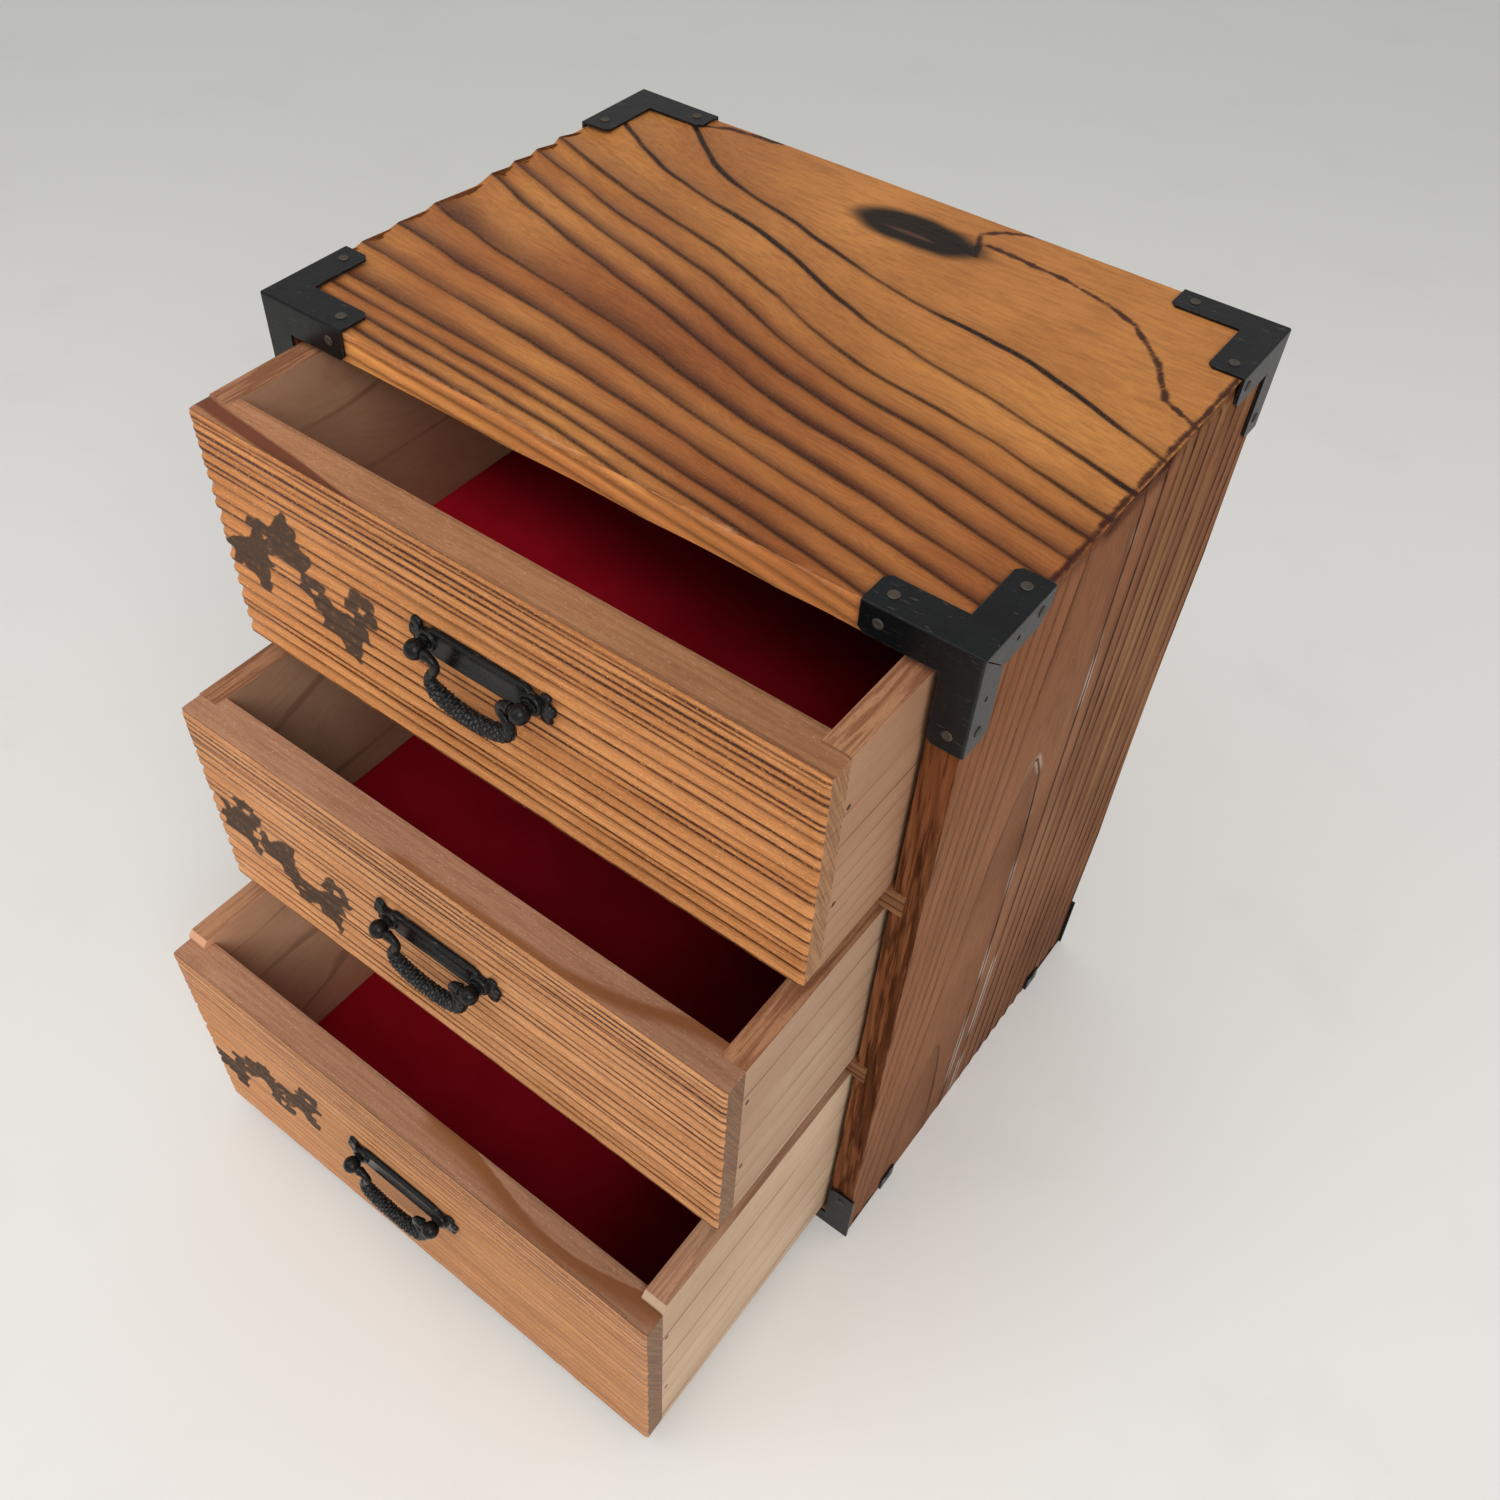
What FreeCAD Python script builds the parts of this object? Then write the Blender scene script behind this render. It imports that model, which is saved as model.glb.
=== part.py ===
"""Small three-drawer tansu chest: a cedar case with sheet-iron corners and three drawers.

Units are millimetres.  +Z is up, the drawer fronts face -Y and +X is to the right of
someone facing them.  The origin is the centre of the underside of the wooden case.
The drawers are modelled pulled out by their own amounts, lowest drawer furthest.
"""
import FreeCAD, Part
import math
import os

V = FreeCAD.Vector

# ---------------------------------------------------------------- case, wood
case_width = 204.5
case_depth = 148.5
case_height = 266.3
side_thick = 8.6
top_thick = 8.6
bottom_thick = 7.0
divider_thick = 7.5
back_thick = 5.0
back_rabbet = 4.0          # how far the back panel is let into each side and the top
housing_depth = 3.4        # how far dividers and bottom are let into each side
upper_bay_height = 73.4    # the top and middle drawers share this height

# ---------------------------------------------------------------- drawers
drawer_side_gap = 1.5
drawer_top_gap = 1.4
drawer_floor_gap = 0.3
drawer_back_gap = 2.0
front_thick = 10.5
front_lap = 7.0            # thickness of the front left standing over the ends of the sides
drawer_side_thick = 7.0
drawer_back_thick = 6.0
panel_thick = 3.0          # the drawer's bottom panel
panel_rise = 3.0           # from the drawer's lower edge to the panel
panel_groove = 3.0         # how far the panel runs into its grooves
felt_thick = 1.2
felt_gap = 0.3
lower_side_proud = 2.8     # the lowest drawer's sides stand this much above its front
side_chamfer = 1.6
joint_nail_radius = 0.8
joint_nail_length = 11.0
joint_nails = 2            # nails in each of a drawer's corners

top_pull_out = 35.3
middle_pull_out = 62.6
lower_pull_out = 91.4

reed_pitch = 4.4           # mean spacing of the hard grain lines on the drawer fronts
reed_crest = 0.8           # width of a hard line; the soft wood between is brushed hollow
reed_hollow = 0.22         # depth of a brushed hollow as a share of its width
reed_unevenness = 0.32
edge_hollows = 2           # brushed hollows along the top board's front edge
edge_hollow = 0.16

# ---------------------------------------------------------------- sheet-iron corners
iron_thick = 0.75
iron_fold_radius = 0.6
iron_arm = 28.5
iron_side_cover = 9.0      # width of the arms that run along a side edge
iron_face_cover = 9.8      # width of the arms that run along a front or back edge
iron_top_cover = 8.6       # height of the arms that run along the top edge
iron_clip = 1.4            # clipped corners of the arm ends
flange_clip = 4.0          # the larger clip at the far end of the seamed flange
iron_seam = 0.3            # open seam between the two flanges that are folded separately
iron_hole_radius = 0.7     # spare nail holes in the seamed flanges
foot_rise = 25.0           # height of the vertical arm of a foot iron
foot_cover = 6.4           # height of the arm along the bottom board
foot_tab_width = 7.5
foot_tab_height = 9.5
nail_inset = 4.6           # nails sit this far from the end of an arm
nail_head_radius = 1.35
nail_head_height = 0.35
back_nail_radius = 1.2
back_nail_rows = 4

# ---------------------------------------------------------------- bail pulls
pull_rise = 7.0            # plate centre above the middle of the drawer front
pull_span = 32.4           # between the two posts
plate_height = 8.8
plate_thick = 1.6
plate_corner = 3.0
plate_bevel = 0.5
boss_radius = 3.1
boss_height = 0.7          # stands this much above the plate
finial_reach = 6.3         # from the post's axis to the tip of the finial
finial_lobe = 1.9          # radius of the side lobes
finial_tip = 1.4           # radius of the end lobe
finial_stem = 3.0
finial_spread = 2.9
finial_thick = 1.3
post_offset = 5.3          # ball centre in front of the drawer front
post_neck_radius = 1.3
post_collar_radius = 2.1   # turned rings between the plate and the ball
post_collars = 2
ball_radius = 2.6
shank_radius = 1.4
shank_clearance = 0.1
nut_radius = 3.0
nut_height = 2.2
nut_chamfer = 0.7
pin_radius = 0.8
pin_clearance = 0.05
pin_length = 1.5           # how far the bail's pins reach into the balls
pin_end_gap = 0.3
bail_ball_gap = 0.35
bail_stub = 1.0            # straight length of the arm beside the ball
elbow_radius = 2.3
elbow_turn = 130.0         # degrees: the arm doubles back outwards under the ball
arm_run = 2.0
hip_radius = 3.2
bow_angle = 25.0           # slope at which the arms run into the bow of the grip
bail_arm_radius = 1.1
bail_knob_radius = 1.5
bail_grip_radius = 2.25
grip_taper = 4.5           # length over which the arm swells into the grip
bail_corners = 8           # the bail is cast with rows of diamond facets, this many round it
facet_length = 1.0         # distance from one ring of facet corners to the next

# ---------------------------------------------------------------- worked-out places
half_width = case_width / 2
half_depth = case_depth / 2
bay_half_width = half_width - side_thick
bay_back = half_depth - back_thick
top_under = case_height - top_thick
upper_bay_floor = top_under - upper_bay_height
middle_bay_top = upper_bay_floor - divider_thick
middle_bay_floor = middle_bay_top - upper_bay_height
lower_bay_top = middle_bay_floor - divider_thick
drawer_half_width = bay_half_width - drawer_side_gap
drawer_inner_half = drawer_half_width - drawer_side_thick
drawer_length = bay_back + half_depth - drawer_back_gap


def block(x0, x1, y0, y1, z0, z1):
    return Part.makeBox(x1 - x0, y1 - y0, z1 - z0, V(x0, y0, z0))


def prism(points, direction):
    """A straight prism on a closed outline of points."""
    outline = Part.makePolygon(points + [points[0]])
    return Part.Face(outline).extrude(direction)


def disc(radius, height, base, direction):
    return Part.makeCylinder(radius, height, base, direction)


def fuse_all(shapes):
    return shapes[0].multiFuse(shapes[1:]).removeSplitter()


# ================================================================ case boards
def ridged_outline(x, face, low, high, back, lines, hollow):
    """A board's section in the plane of x, brushed hollow between its hard grain lines."""
    edges = []
    for start, end in zip(lines, lines[1:]):
        hollow_start = V(x, face, start + reed_crest)
        hollow_end = V(x, face, end)
        width = end - start - reed_crest
        deepest = V(x, face + hollow * width, start + reed_crest + width / 2)
        edges.append(Part.LineSegment(V(x, face, start), hollow_start).toShape())
        edges.append(Part.Arc(hollow_start, deepest, hollow_end).toShape())
    corners = [V(x, face, high), V(x, back, high), V(x, back, low), V(x, face, low)]
    for start, end in zip(corners, corners[1:]):
        edges.append(Part.LineSegment(start, end).toShape())
    return Part.Face(Part.Wire(edges))


def top_board():
    """The top, brushed hollow along its front edge and mitred to the sides at both ends."""
    lines = [top_under + top_thick * i / edge_hollows for i in range(edge_hollows + 1)]
    section = ridged_outline(-half_width, -half_depth, top_under, case_height, half_depth, lines,
                             edge_hollow)
    board = section.extrude(V(case_width, 0, 0))
    mitre = [V(-half_width, -half_depth, case_height), V(half_width, -half_depth, case_height),
             V(bay_half_width, -half_depth, top_under), V(-bay_half_width, -half_depth, top_under)]
    board = board.common(prism(mitre, V(0, case_depth, 0)))
    rabbet = block(-bay_half_width, bay_half_width, bay_back, half_depth, top_under, top_under + back_rabbet)
    return board.cut(rabbet)


def side_board(sign):
    """A side: mitred at the top, housed for the shelves, rabbeted for the back panel."""
    profile = [V(half_width, -half_depth, 0), V(half_width, -half_depth, case_height),
               V(bay_half_width, -half_depth, top_under), V(bay_half_width, -half_depth, 0)]
    board = prism(profile, V(0, case_depth, 0))
    for floor, thick in ((0, bottom_thick), (lower_bay_top, divider_thick), (middle_bay_top, divider_thick)):
        board = board.cut(block(bay_half_width, bay_half_width + housing_depth,
                                -half_depth, bay_back, floor, floor + thick))
    board = board.cut(block(bay_half_width, bay_half_width + back_rabbet,
                            bay_back, half_depth, 0, top_under))
    return board if sign > 0 else board.mirror(V(0, 0, 0), V(1, 0, 0))


def shelf(floor, thick):
    """A full-depth board housed into both sides: the bottom, or a divider between bays."""
    reach = bay_half_width + housing_depth
    return block(-reach, reach, -half_depth, bay_back, floor, floor + thick)


def back_panel():
    reach = bay_half_width + back_rabbet
    panel = block(-reach, reach, bay_back, half_depth, 0, top_under)
    tongue = block(-bay_half_width, bay_half_width, bay_back, half_depth, top_under, top_under + back_rabbet)
    return panel.fuse(tongue).removeSplitter()


# ================================================================ sheet-iron corners
def at_corner(shape, sign_x, sign_y, top):
    """Moves a corner piece drawn at the origin, arms along +X +Y +Z, to a corner of the case.

    A top iron at the back is turned first, so that its seamed flanges lie on the back."""
    if top and sign_y > 0:
        shape = shape.mirror(V(0, 0, 0), V(1, -1, 0))
    if sign_x > 0:
        shape = shape.mirror(V(0, 0, 0), V(1, 0, 0))
    if sign_y > 0:
        shape = shape.mirror(V(0, 0, 0), V(0, 1, 0))
    if top:
        shape = shape.mirror(V(0, 0, 0), V(0, 0, 1))
    corner = V(sign_x * (half_width + iron_thick), sign_y * (half_depth + iron_thick),
               case_height + iron_thick if top else 0)
    return shape.translated(corner)


def three_plates(rise, cover_z):
    """Three L-shaped plates folded round a corner at the origin, arms along +X, +Y and +Z."""
    far = 2 * iron_arm
    shell = block(0, iron_arm, 0, iron_arm, 0, rise)
    shell = shell.cut(block(iron_thick, far, iron_thick, far, iron_thick, far))
    shell = shell.cut(block(iron_side_cover, far, iron_face_cover, far, -far, iron_thick))
    shell = shell.cut(block(iron_side_cover, far, -far, iron_thick, cover_z, far))
    return shell.cut(block(-far, iron_thick, iron_face_cover, far, cover_z, far))


def clip(corner, along, across, through, size=iron_clip):
    """A wedge that clips one corner of an arm end."""
    start = corner - through * iron_arm
    points = [start, start + along * size, start + across * size]
    return prism(points, through * (2 * iron_arm))


def fold_edges(shape, radius):
    """Rounds the outer folds: the straight edges that lie on two of the outer planes."""
    folds = []
    for edge in shape.Edges:
        centre = edge.BoundBox
        flat = [centre.XMax < 1e-6, centre.YMax < 1e-6, centre.ZMax < 1e-6]
        if sum(flat) == 2:
            folds.append(edge)
    return shape.makeFillet(radius, folds)


def corner_iron():
    iron = three_plates(iron_arm, iron_top_cover)
    iron = fold_edges(iron, iron_fold_radius)
    x, y, z = V(1, 0, 0), V(0, 1, 0), V(0, 0, 1)
    wedges = [clip(V(iron_side_cover, iron_arm, 0), -x, -y, z),
              clip(V(iron_arm, iron_face_cover, 0), -y, -x, z),
              clip(V(0, iron_face_cover, iron_arm), -y, -z, x),
              clip(V(0, iron_arm, iron_top_cover), -z, -y, x, flange_clip),
              clip(V(iron_side_cover, 0, iron_arm), -x, -z, y),
              clip(V(iron_arm, 0, iron_top_cover), -z, -x, y)]
    holes = [disc(iron_hole_radius, 2 * iron_thick, V(-iron_thick / 2, iron_arm / 2, iron_top_cover / 2), x),
             disc(iron_hole_radius, 2 * iron_thick, V(-iron_thick / 2, iron_face_cover / 2, iron_arm / 2), x)]
    return iron.cut(Part.makeCompound(wedges)).cut(Part.makeCompound(holes)).cut(side_seam())


def side_seam():
    """The open seam where the flange folded from the top meets the one folded from the front."""
    slit = block(-1, iron_thick, iron_thick + iron_fold_radius, 2 * iron_arm, -iron_seam / 2, iron_seam / 2)
    angle = math.degrees(math.atan2(iron_top_cover, iron_face_cover))
    slit.rotate(V(0, 0, 0), V(1, 0, 0), angle)
    return slit


def foot_iron():
    """A foot iron: plates under the case and on its face, and one small tab on the side."""
    iron = three_plates(foot_rise, foot_cover)
    tab_start = iron_arm - foot_tab_width
    iron = iron.cut(block(-1, iron_thick, iron_thick, tab_start, -1, foot_rise + 1))
    iron = iron.cut(block(-1, iron_thick, iron_thick, iron_arm + 1, foot_tab_height, foot_rise + 1))
    x, y, z = V(1, 0, 0), V(0, 1, 0), V(0, 0, 1)
    wedges = [clip(V(0, iron_arm, foot_tab_height), -y, -z, x),
              clip(V(0, tab_start, foot_tab_height), y, -z, x),
              clip(V(iron_side_cover, 0, foot_rise), -x, -z, y)]
    return iron.cut(Part.makeCompound(wedges))


def iron_nail_heads():
    """Two flat nail heads near the ends of the arms on each of a corner iron's three plates."""
    end = iron_arm - nail_inset
    x, y, z = V(-1, 0, 0), V(0, -1, 0), V(0, 0, -1)
    spots = [(V(iron_side_cover / 2, end, 0), z), (V(end, iron_face_cover / 2, 0), z),
             (V(end, 0, iron_top_cover / 2), y), (V(iron_side_cover / 2, 0, end), y),
             (V(0, end, iron_top_cover / 2), x), (V(0, iron_face_cover / 2, end), x)]
    return [disc(nail_head_radius, nail_head_height, spot, out) for spot, out in spots]


def foot_nail_heads():
    spots = [(V(iron_side_cover / 2, 0, foot_rise - nail_inset), V(0, -1, 0)),
             (V(0, iron_arm - foot_tab_width / 2, foot_tab_height / 2), V(-1, 0, 0))]
    return [disc(nail_head_radius, nail_head_height, spot, out) for spot, out in spots]


def back_nail_heads():
    """Nails down both edges of the back panel, into the sides."""
    column = bay_half_width + back_rabbet / 2
    step = top_under / back_nail_rows
    heads = []
    for row in range(back_nail_rows):
        for sign in (-1, 1):
            place = V(sign * column, half_depth, step * (row + 0.5))
            heads.append(disc(back_nail_radius, nail_head_height, place, V(0, 1, 0)))
    return heads


# ================================================================ drawers
class Drawer:
    """Sizes and places of one drawer, from the bay it runs in and how far it is out."""

    def __init__(self, name, bay_floor, bay_top, pull_out, proud, phase):
        self.name = name
        self.floor = bay_floor + drawer_floor_gap
        self.side_top = bay_top - drawer_top_gap
        self.front_top = self.side_top - proud
        self.face = -half_depth - pull_out
        self.lap = self.face + front_lap
        self.inside = self.face + front_thick
        self.end = self.face + drawer_length
        self.panel_floor = self.floor + panel_rise
        self.panel_top = self.panel_floor + panel_thick
        self.pull_height = (self.floor + self.front_top) / 2 + pull_rise
        self.proud = proud
        self.phase = phase


def reed_lines(bottom, top, phase):
    """Heights of the hard grain lines, unevenly spaced like growth rings."""
    count = round((top - bottom) / reed_pitch)
    widths = []
    for i in range(count):
        wander = math.sin(2.3 * i + phase) + 0.6 * math.sin(5.1 * i + 2 * phase)
        widths.append(1 + reed_unevenness * wander)
    scale = (top - bottom) / sum(widths)
    lines = [bottom]
    for width in widths:
        lines.append(lines[-1] + width * scale)
    return lines


def reeded_slab(drawer):
    """The front board: its ridged section, extruded across the drawer."""
    lines = reed_lines(drawer.floor, drawer.front_top, drawer.phase)
    section = ridged_outline(-drawer_half_width, drawer.face, drawer.floor, drawer.front_top,
                             drawer.inside, lines, reed_hollow)
    return section.extrude(V(2 * drawer_half_width, 0, 0))


def panel_box(drawer):
    """The bottom panel, which also cuts its own grooves in the front and sides."""
    reach = drawer_inner_half + panel_groove
    return block(-reach, reach, drawer.inside - panel_groove, drawer.end,
                 drawer.panel_floor, drawer.panel_top)


def drawer_front(drawer):
    """Ridged front with a lap over the sides' ends, a groove for the panel and two post holes."""
    front = reeded_slab(drawer)
    for x0, x1 in ((-drawer_half_width, -drawer_inner_half), (drawer_inner_half, drawer_half_width)):
        front = front.cut(block(x0, x1, drawer.lap, drawer.inside, drawer.floor, drawer.front_top))
    front = front.cut(panel_box(drawer))
    for sign in (-1, 1):
        start = V(sign * pull_span / 2, drawer.face - 1, drawer.pull_height)
        front = front.cut(disc(shank_radius + shank_clearance, front_thick + 2, start, V(0, 1, 0)))
    return front


def drawer_side(drawer, sign):
    side = block(drawer_inner_half, drawer_half_width, drawer.lap, drawer.end, drawer.floor, drawer.side_top)
    if drawer.proud > 0:
        nose = [V(drawer_inner_half, drawer.lap, drawer.side_top),
                V(drawer_inner_half, drawer.lap + side_chamfer, drawer.side_top),
                V(drawer_inner_half, drawer.lap, drawer.side_top - side_chamfer)]
        side = side.cut(prism(nose, V(drawer_side_thick, 0, 0)))
    side = side.cut(panel_box(drawer))
    return side if sign > 0 else side.mirror(V(0, 0, 0), V(1, 0, 0))


def drawer_back(drawer):
    """The back stands on the bottom panel, between the sides."""
    return block(-drawer_inner_half, drawer_inner_half, drawer.end - drawer_back_thick, drawer.end,
                 drawer.panel_top, drawer.side_top)


def joint_nails_of(drawer):
    """Nails driven through the sides into the front and the back, flush with the sides."""
    front_line = (drawer.lap + drawer.inside) / 2
    back_line = drawer.end - drawer_back_thick / 2
    pins = []
    for sign in (-1, 1):
        for line in (front_line, back_line):
            for i in range(joint_nails):
                height = drawer.panel_top + (drawer.front_top - drawer.panel_top) * (i + 0.5) / joint_nails
                start = V(sign * drawer_half_width, line, height)
                pins.append(disc(joint_nail_radius, joint_nail_length, start, V(-sign, 0, 0)))
    return pins


def felt_lining(drawer):
    reach = drawer_inner_half - felt_gap
    return block(-reach, reach, drawer.inside + felt_gap, drawer.end - drawer_back_thick - felt_gap,
                 drawer.panel_top, drawer.panel_top + felt_thick)


# ================================================================ bail pulls
def finial(sign):
    """A three-lobed finial: two side lobes and a tip on a short stem, beyond the post."""
    half = pull_span / 2
    out = V(0, -1, 0)
    tip = half + finial_reach
    lobe_x = sign * (tip - finial_lobe - finial_tip / 2)
    lobes = [disc(finial_lobe, finial_thick, V(lobe_x, 0, spread), out)
             for spread in (-finial_spread, finial_spread)]
    lobes.append(disc(finial_tip, finial_thick, V(sign * (tip - finial_tip), 0, 0), out))
    lobes.append(block(min(sign * half, lobe_x), max(sign * half, lobe_x), -finial_thick, 0,
                       -finial_stem / 2, finial_stem / 2))
    return lobes


def pull_plate(drawer):
    """Flat backplate with rounded ends, a boss at each post and a finial at each end."""
    half = pull_span / 2
    bar = block(-half, half, -plate_thick, 0, -plate_height / 2, plate_height / 2)
    bar = bar.makeFillet(plate_corner, [e for e in bar.Edges if abs(e.BoundBox.YLength - plate_thick) < 1e-6])
    rim = [e for e in bar.Edges if e.BoundBox.YMax < -plate_thick + 1e-6]
    bar = bar.makeChamfer(plate_bevel, rim)
    boss = plate_thick + boss_height
    parts = [bar]
    for sign in (-1, 1):
        parts.append(disc(boss_radius, boss, V(sign * half, 0, 0), V(0, -1, 0)))
        parts += finial(sign)
    plate = fuse_all(parts)
    for sign in (-1, 1):
        plate = plate.cut(disc(shank_radius, boss + 2, V(sign * half, 1, 0), V(0, -1, 0)))
    return plate.translated(V(0, drawer.face, drawer.pull_height))


def pull_post(drawer, sign):
    """A turned post: shank, collars, neck, and a ball bored from the side for the bail's pin."""
    seat = plate_thick + boss_height
    join = math.sqrt(ball_radius ** 2 - post_neck_radius ** 2)
    neck_end = post_offset - join
    ring = (neck_end - seat) / (2 * post_collars)
    points = [V(0, front_thick, 0), V(shank_radius, front_thick, 0), V(shank_radius, -seat, 0)]
    for i in range(post_collars):
        low = seat + 2 * i * ring
        points += [V(post_neck_radius, -low, 0), V(post_collar_radius, -low - ring / 2, 0),
                   V(post_collar_radius, -low - ring, 0), V(post_neck_radius, -low - 1.5 * ring, 0)]
    points.append(V(post_neck_radius, -neck_end, 0))
    edges = [Part.LineSegment(a, b).toShape() for a, b in zip(points, points[1:])]
    tip = V(0, -post_offset - ball_radius, 0)
    edges.append(Part.Arc(points[-1], V(ball_radius, -post_offset, 0), tip).toShape())
    edges.append(Part.LineSegment(tip, points[0]).toShape())
    post = Part.Face(Part.Wire(edges)).revolve(V(0, 0, 0), V(0, 1, 0), 360)
    bore_start = V(-sign * (ball_radius - pin_length - pin_end_gap), -post_offset, 0)
    post = post.cut(disc(pin_radius + pin_clearance, ball_radius, bore_start, V(-sign, 0, 0)))
    return post.translated(V(sign * pull_span / 2, drawer.face, drawer.pull_height))


def pull_nuts(drawer):
    """Round nuts with a chamfered rim, on the ends of the shanks inside the drawer."""
    nuts = []
    for sign in (-1, 1):
        place = V(sign * pull_span / 2, drawer.inside, drawer.pull_height)
        nut = disc(nut_radius, nut_height, place, V(0, 1, 0))
        rim = [e for e in nut.Edges if e.BoundBox.YMin > drawer.inside + nut_height - 1e-6]
        nuts.append(nut.makeChamfer(nut_chamfer, rim))
    return nuts


def arc_from(point, heading, radius, turn):
    """An arc in the plane of the bail, and the point and heading at its end (degrees)."""
    side = 90 if turn > 0 else -90
    centre = point + polar(heading + side, radius)
    middle = centre + polar(heading + side + 180 + turn / 2, radius)
    end = centre + polar(heading + side + 180 + turn, radius)
    return Part.Arc(point, middle, end).toShape(), end, heading + turn


def polar(angle, length):
    return V(length * math.cos(math.radians(angle)), 0, length * math.sin(math.radians(angle)))


def bail_half_path():
    """Centre line of the right-hand arm, from its pin to the middle of the grip."""
    start = V(pull_span / 2 - ball_radius - bail_ball_gap, 0, 0)
    shoulder = start + polar(180, bail_stub)
    elbow, elbow_end, heading = arc_from(shoulder, 180, elbow_radius, elbow_turn)
    hip_start = elbow_end + polar(heading, arm_run)
    hip, hip_end, heading = arc_from(hip_start, heading, hip_radius, 180 + bow_angle - heading)
    bow_radius = hip_end.x / math.sin(math.radians(bow_angle))
    bow = arc_from(hip_end, heading, bow_radius, -bow_angle)[0]
    return [Part.LineSegment(start, shoulder).toShape(), elbow,
            Part.LineSegment(elbow_end, hip_start).toShape(), hip, bow]


def grip_share(distance):
    """0 along the slim arm, rising smoothly to 1 where the grip is full."""
    grip_start = bail_stub + math.radians(elbow_turn) * elbow_radius + arm_run / 2
    rise = min(max((distance - grip_start) / grip_taper, 0), 1)
    return rise * rise * (3 - 2 * rise)


def bail_ring(place, along, distance, row):
    """Facet corners round the bail; each row is turned by half a facet from the one before."""
    knob = (bail_knob_radius - bail_arm_radius) * math.exp(-(distance / bail_knob_radius) ** 2)
    radius = bail_arm_radius + knob + (bail_grip_radius - bail_arm_radius) * grip_share(distance)
    side = V(0, 1, 0)
    upward = along.cross(side)
    corners = []
    for i in range(bail_corners):
        angle = 2 * math.pi * (i + row / 2) / bail_corners
        corners.append(place + (side * math.cos(angle) + upward * math.sin(angle)) * radius)
    return corners


def facet(*corners):
    return Part.Face(Part.makePolygon(list(corners) + [corners[0]]))


def bail_body():
    """The bail without its pins: rings along its centre line, joined by triangular facets."""
    stations = []
    travelled = 0
    edges = bail_half_path()
    for edge in edges:
        count = max(1, round(edge.Length / facet_length))
        first, last = edge.ParameterRange
        for i in range(count + (edge is edges[-1])):
            parameter = first + (last - first) * i / count
            distance = travelled + edge.Length * i / count
            stations.append((edge.valueAt(parameter), edge.tangentAt(parameter), distance))
        travelled += edge.Length
    for place, along, distance in reversed(stations[:-1]):
        stations.append((V(-place.x, 0, place.z), V(along.x, 0, -along.z), distance))
    rings = [bail_ring(*station, row) for row, station in enumerate(stations)]
    facets = [facet(*rings[0]), facet(*rings[-1])]
    for ring, following in zip(rings, rings[1:]):
        for i in range(bail_corners):
            j = (i + 1) % bail_corners
            facets.append(facet(ring[i], ring[j], following[i]))
            facets.append(facet(ring[j], following[j], following[i]))
    shell = Part.Shell(facets)
    shell.sewShape()
    return Part.Solid(shell)


def bail(drawer):
    """The bail: hooked arms, a swollen grip, and the two pins it swings on."""
    reach = pin_length + bail_ball_gap
    root = V(pull_span / 2 - ball_radius - bail_ball_gap - bail_stub / 2, 0, 0)
    pins = [disc(pin_radius, reach + bail_stub / 2, root, V(1, 0, 0)),
            disc(pin_radius, reach + bail_stub / 2, V(-root.x, 0, 0), V(-1, 0, 0))]
    return bail_body().multiFuse(pins).translated(V(0, drawer.face - post_offset, drawer.pull_height))


# ================================================================ the whole chest
def case_nodes():
    front, back = -1, 1
    feet = {}
    for end, sign_y in (("front", front), ("back", back)):
        for hand, sign_x in (("left", -1), ("right", 1)):
            feet[f"foot_iron_{end}_{hand}"] = at_corner(foot_iron(), sign_x, sign_y, False)
    pockets = Part.makeCompound(list(feet.values()))
    nodes = {
        "top_board": top_board(),
        "left_side": side_board(-1).cut(pockets),
        "right_side": side_board(1).cut(pockets),
        "bottom_board": shelf(0, bottom_thick).cut(pockets),
        "lower_divider": shelf(lower_bay_top, divider_thick),
        "upper_divider": shelf(middle_bay_top, divider_thick),
        "back_panel": back_panel().cut(pockets),
    }
    heads = []
    foot_heads = []
    for end, sign_y in (("front", front), ("back", back)):
        for hand, sign_x in (("left", -1), ("right", 1)):
            nodes[f"corner_iron_{end}_{hand}"] = at_corner(corner_iron(), sign_x, sign_y, True)
            heads += [at_corner(head, sign_x, sign_y, True) for head in iron_nail_heads()]
            foot_heads += [at_corner(head, sign_x, sign_y, False) for head in foot_nail_heads()]
    nodes.update(feet)
    nodes["corner_nails"] = Part.makeCompound(heads)
    nodes["foot_nails"] = Part.makeCompound(foot_heads)
    nodes["back_nails"] = Part.makeCompound(back_nail_heads())
    return nodes


def drawer_nodes(drawer):
    posts = [pull_post(drawer, sign) for sign in (-1, 1)]
    nails = Part.makeCompound(joint_nails_of(drawer))
    return {
        f"{drawer.name}_front": drawer_front(drawer).cut(nails),
        f"{drawer.name}_left_side": drawer_side(drawer, -1).cut(nails),
        f"{drawer.name}_right_side": drawer_side(drawer, 1).cut(nails),
        f"{drawer.name}_back": drawer_back(drawer).cut(nails),
        f"{drawer.name}_nails": nails,
        f"{drawer.name}_bottom_panel": panel_box(drawer),
        f"{drawer.name}_felt": felt_lining(drawer),
        f"{drawer.name}_pull_plate": pull_plate(drawer),
        f"{drawer.name}_pull_posts": Part.makeCompound(posts),
        f"{drawer.name}_pull_nuts": Part.makeCompound(pull_nuts(drawer)),
        f"{drawer.name}_bail": bail(drawer),
    }


def chest():
    nodes = case_nodes()
    drawers = [Drawer("top_drawer", upper_bay_floor, top_under, top_pull_out, 0, 0.4),
               Drawer("middle_drawer", middle_bay_floor, middle_bay_top, middle_pull_out, 0, 1.9),
               Drawer("lower_drawer", bottom_thick, lower_bay_top, lower_pull_out, lower_side_proud, 3.1)]
    for drawer in drawers:
        nodes.update(drawer_nodes(drawer))
    return nodes


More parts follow.
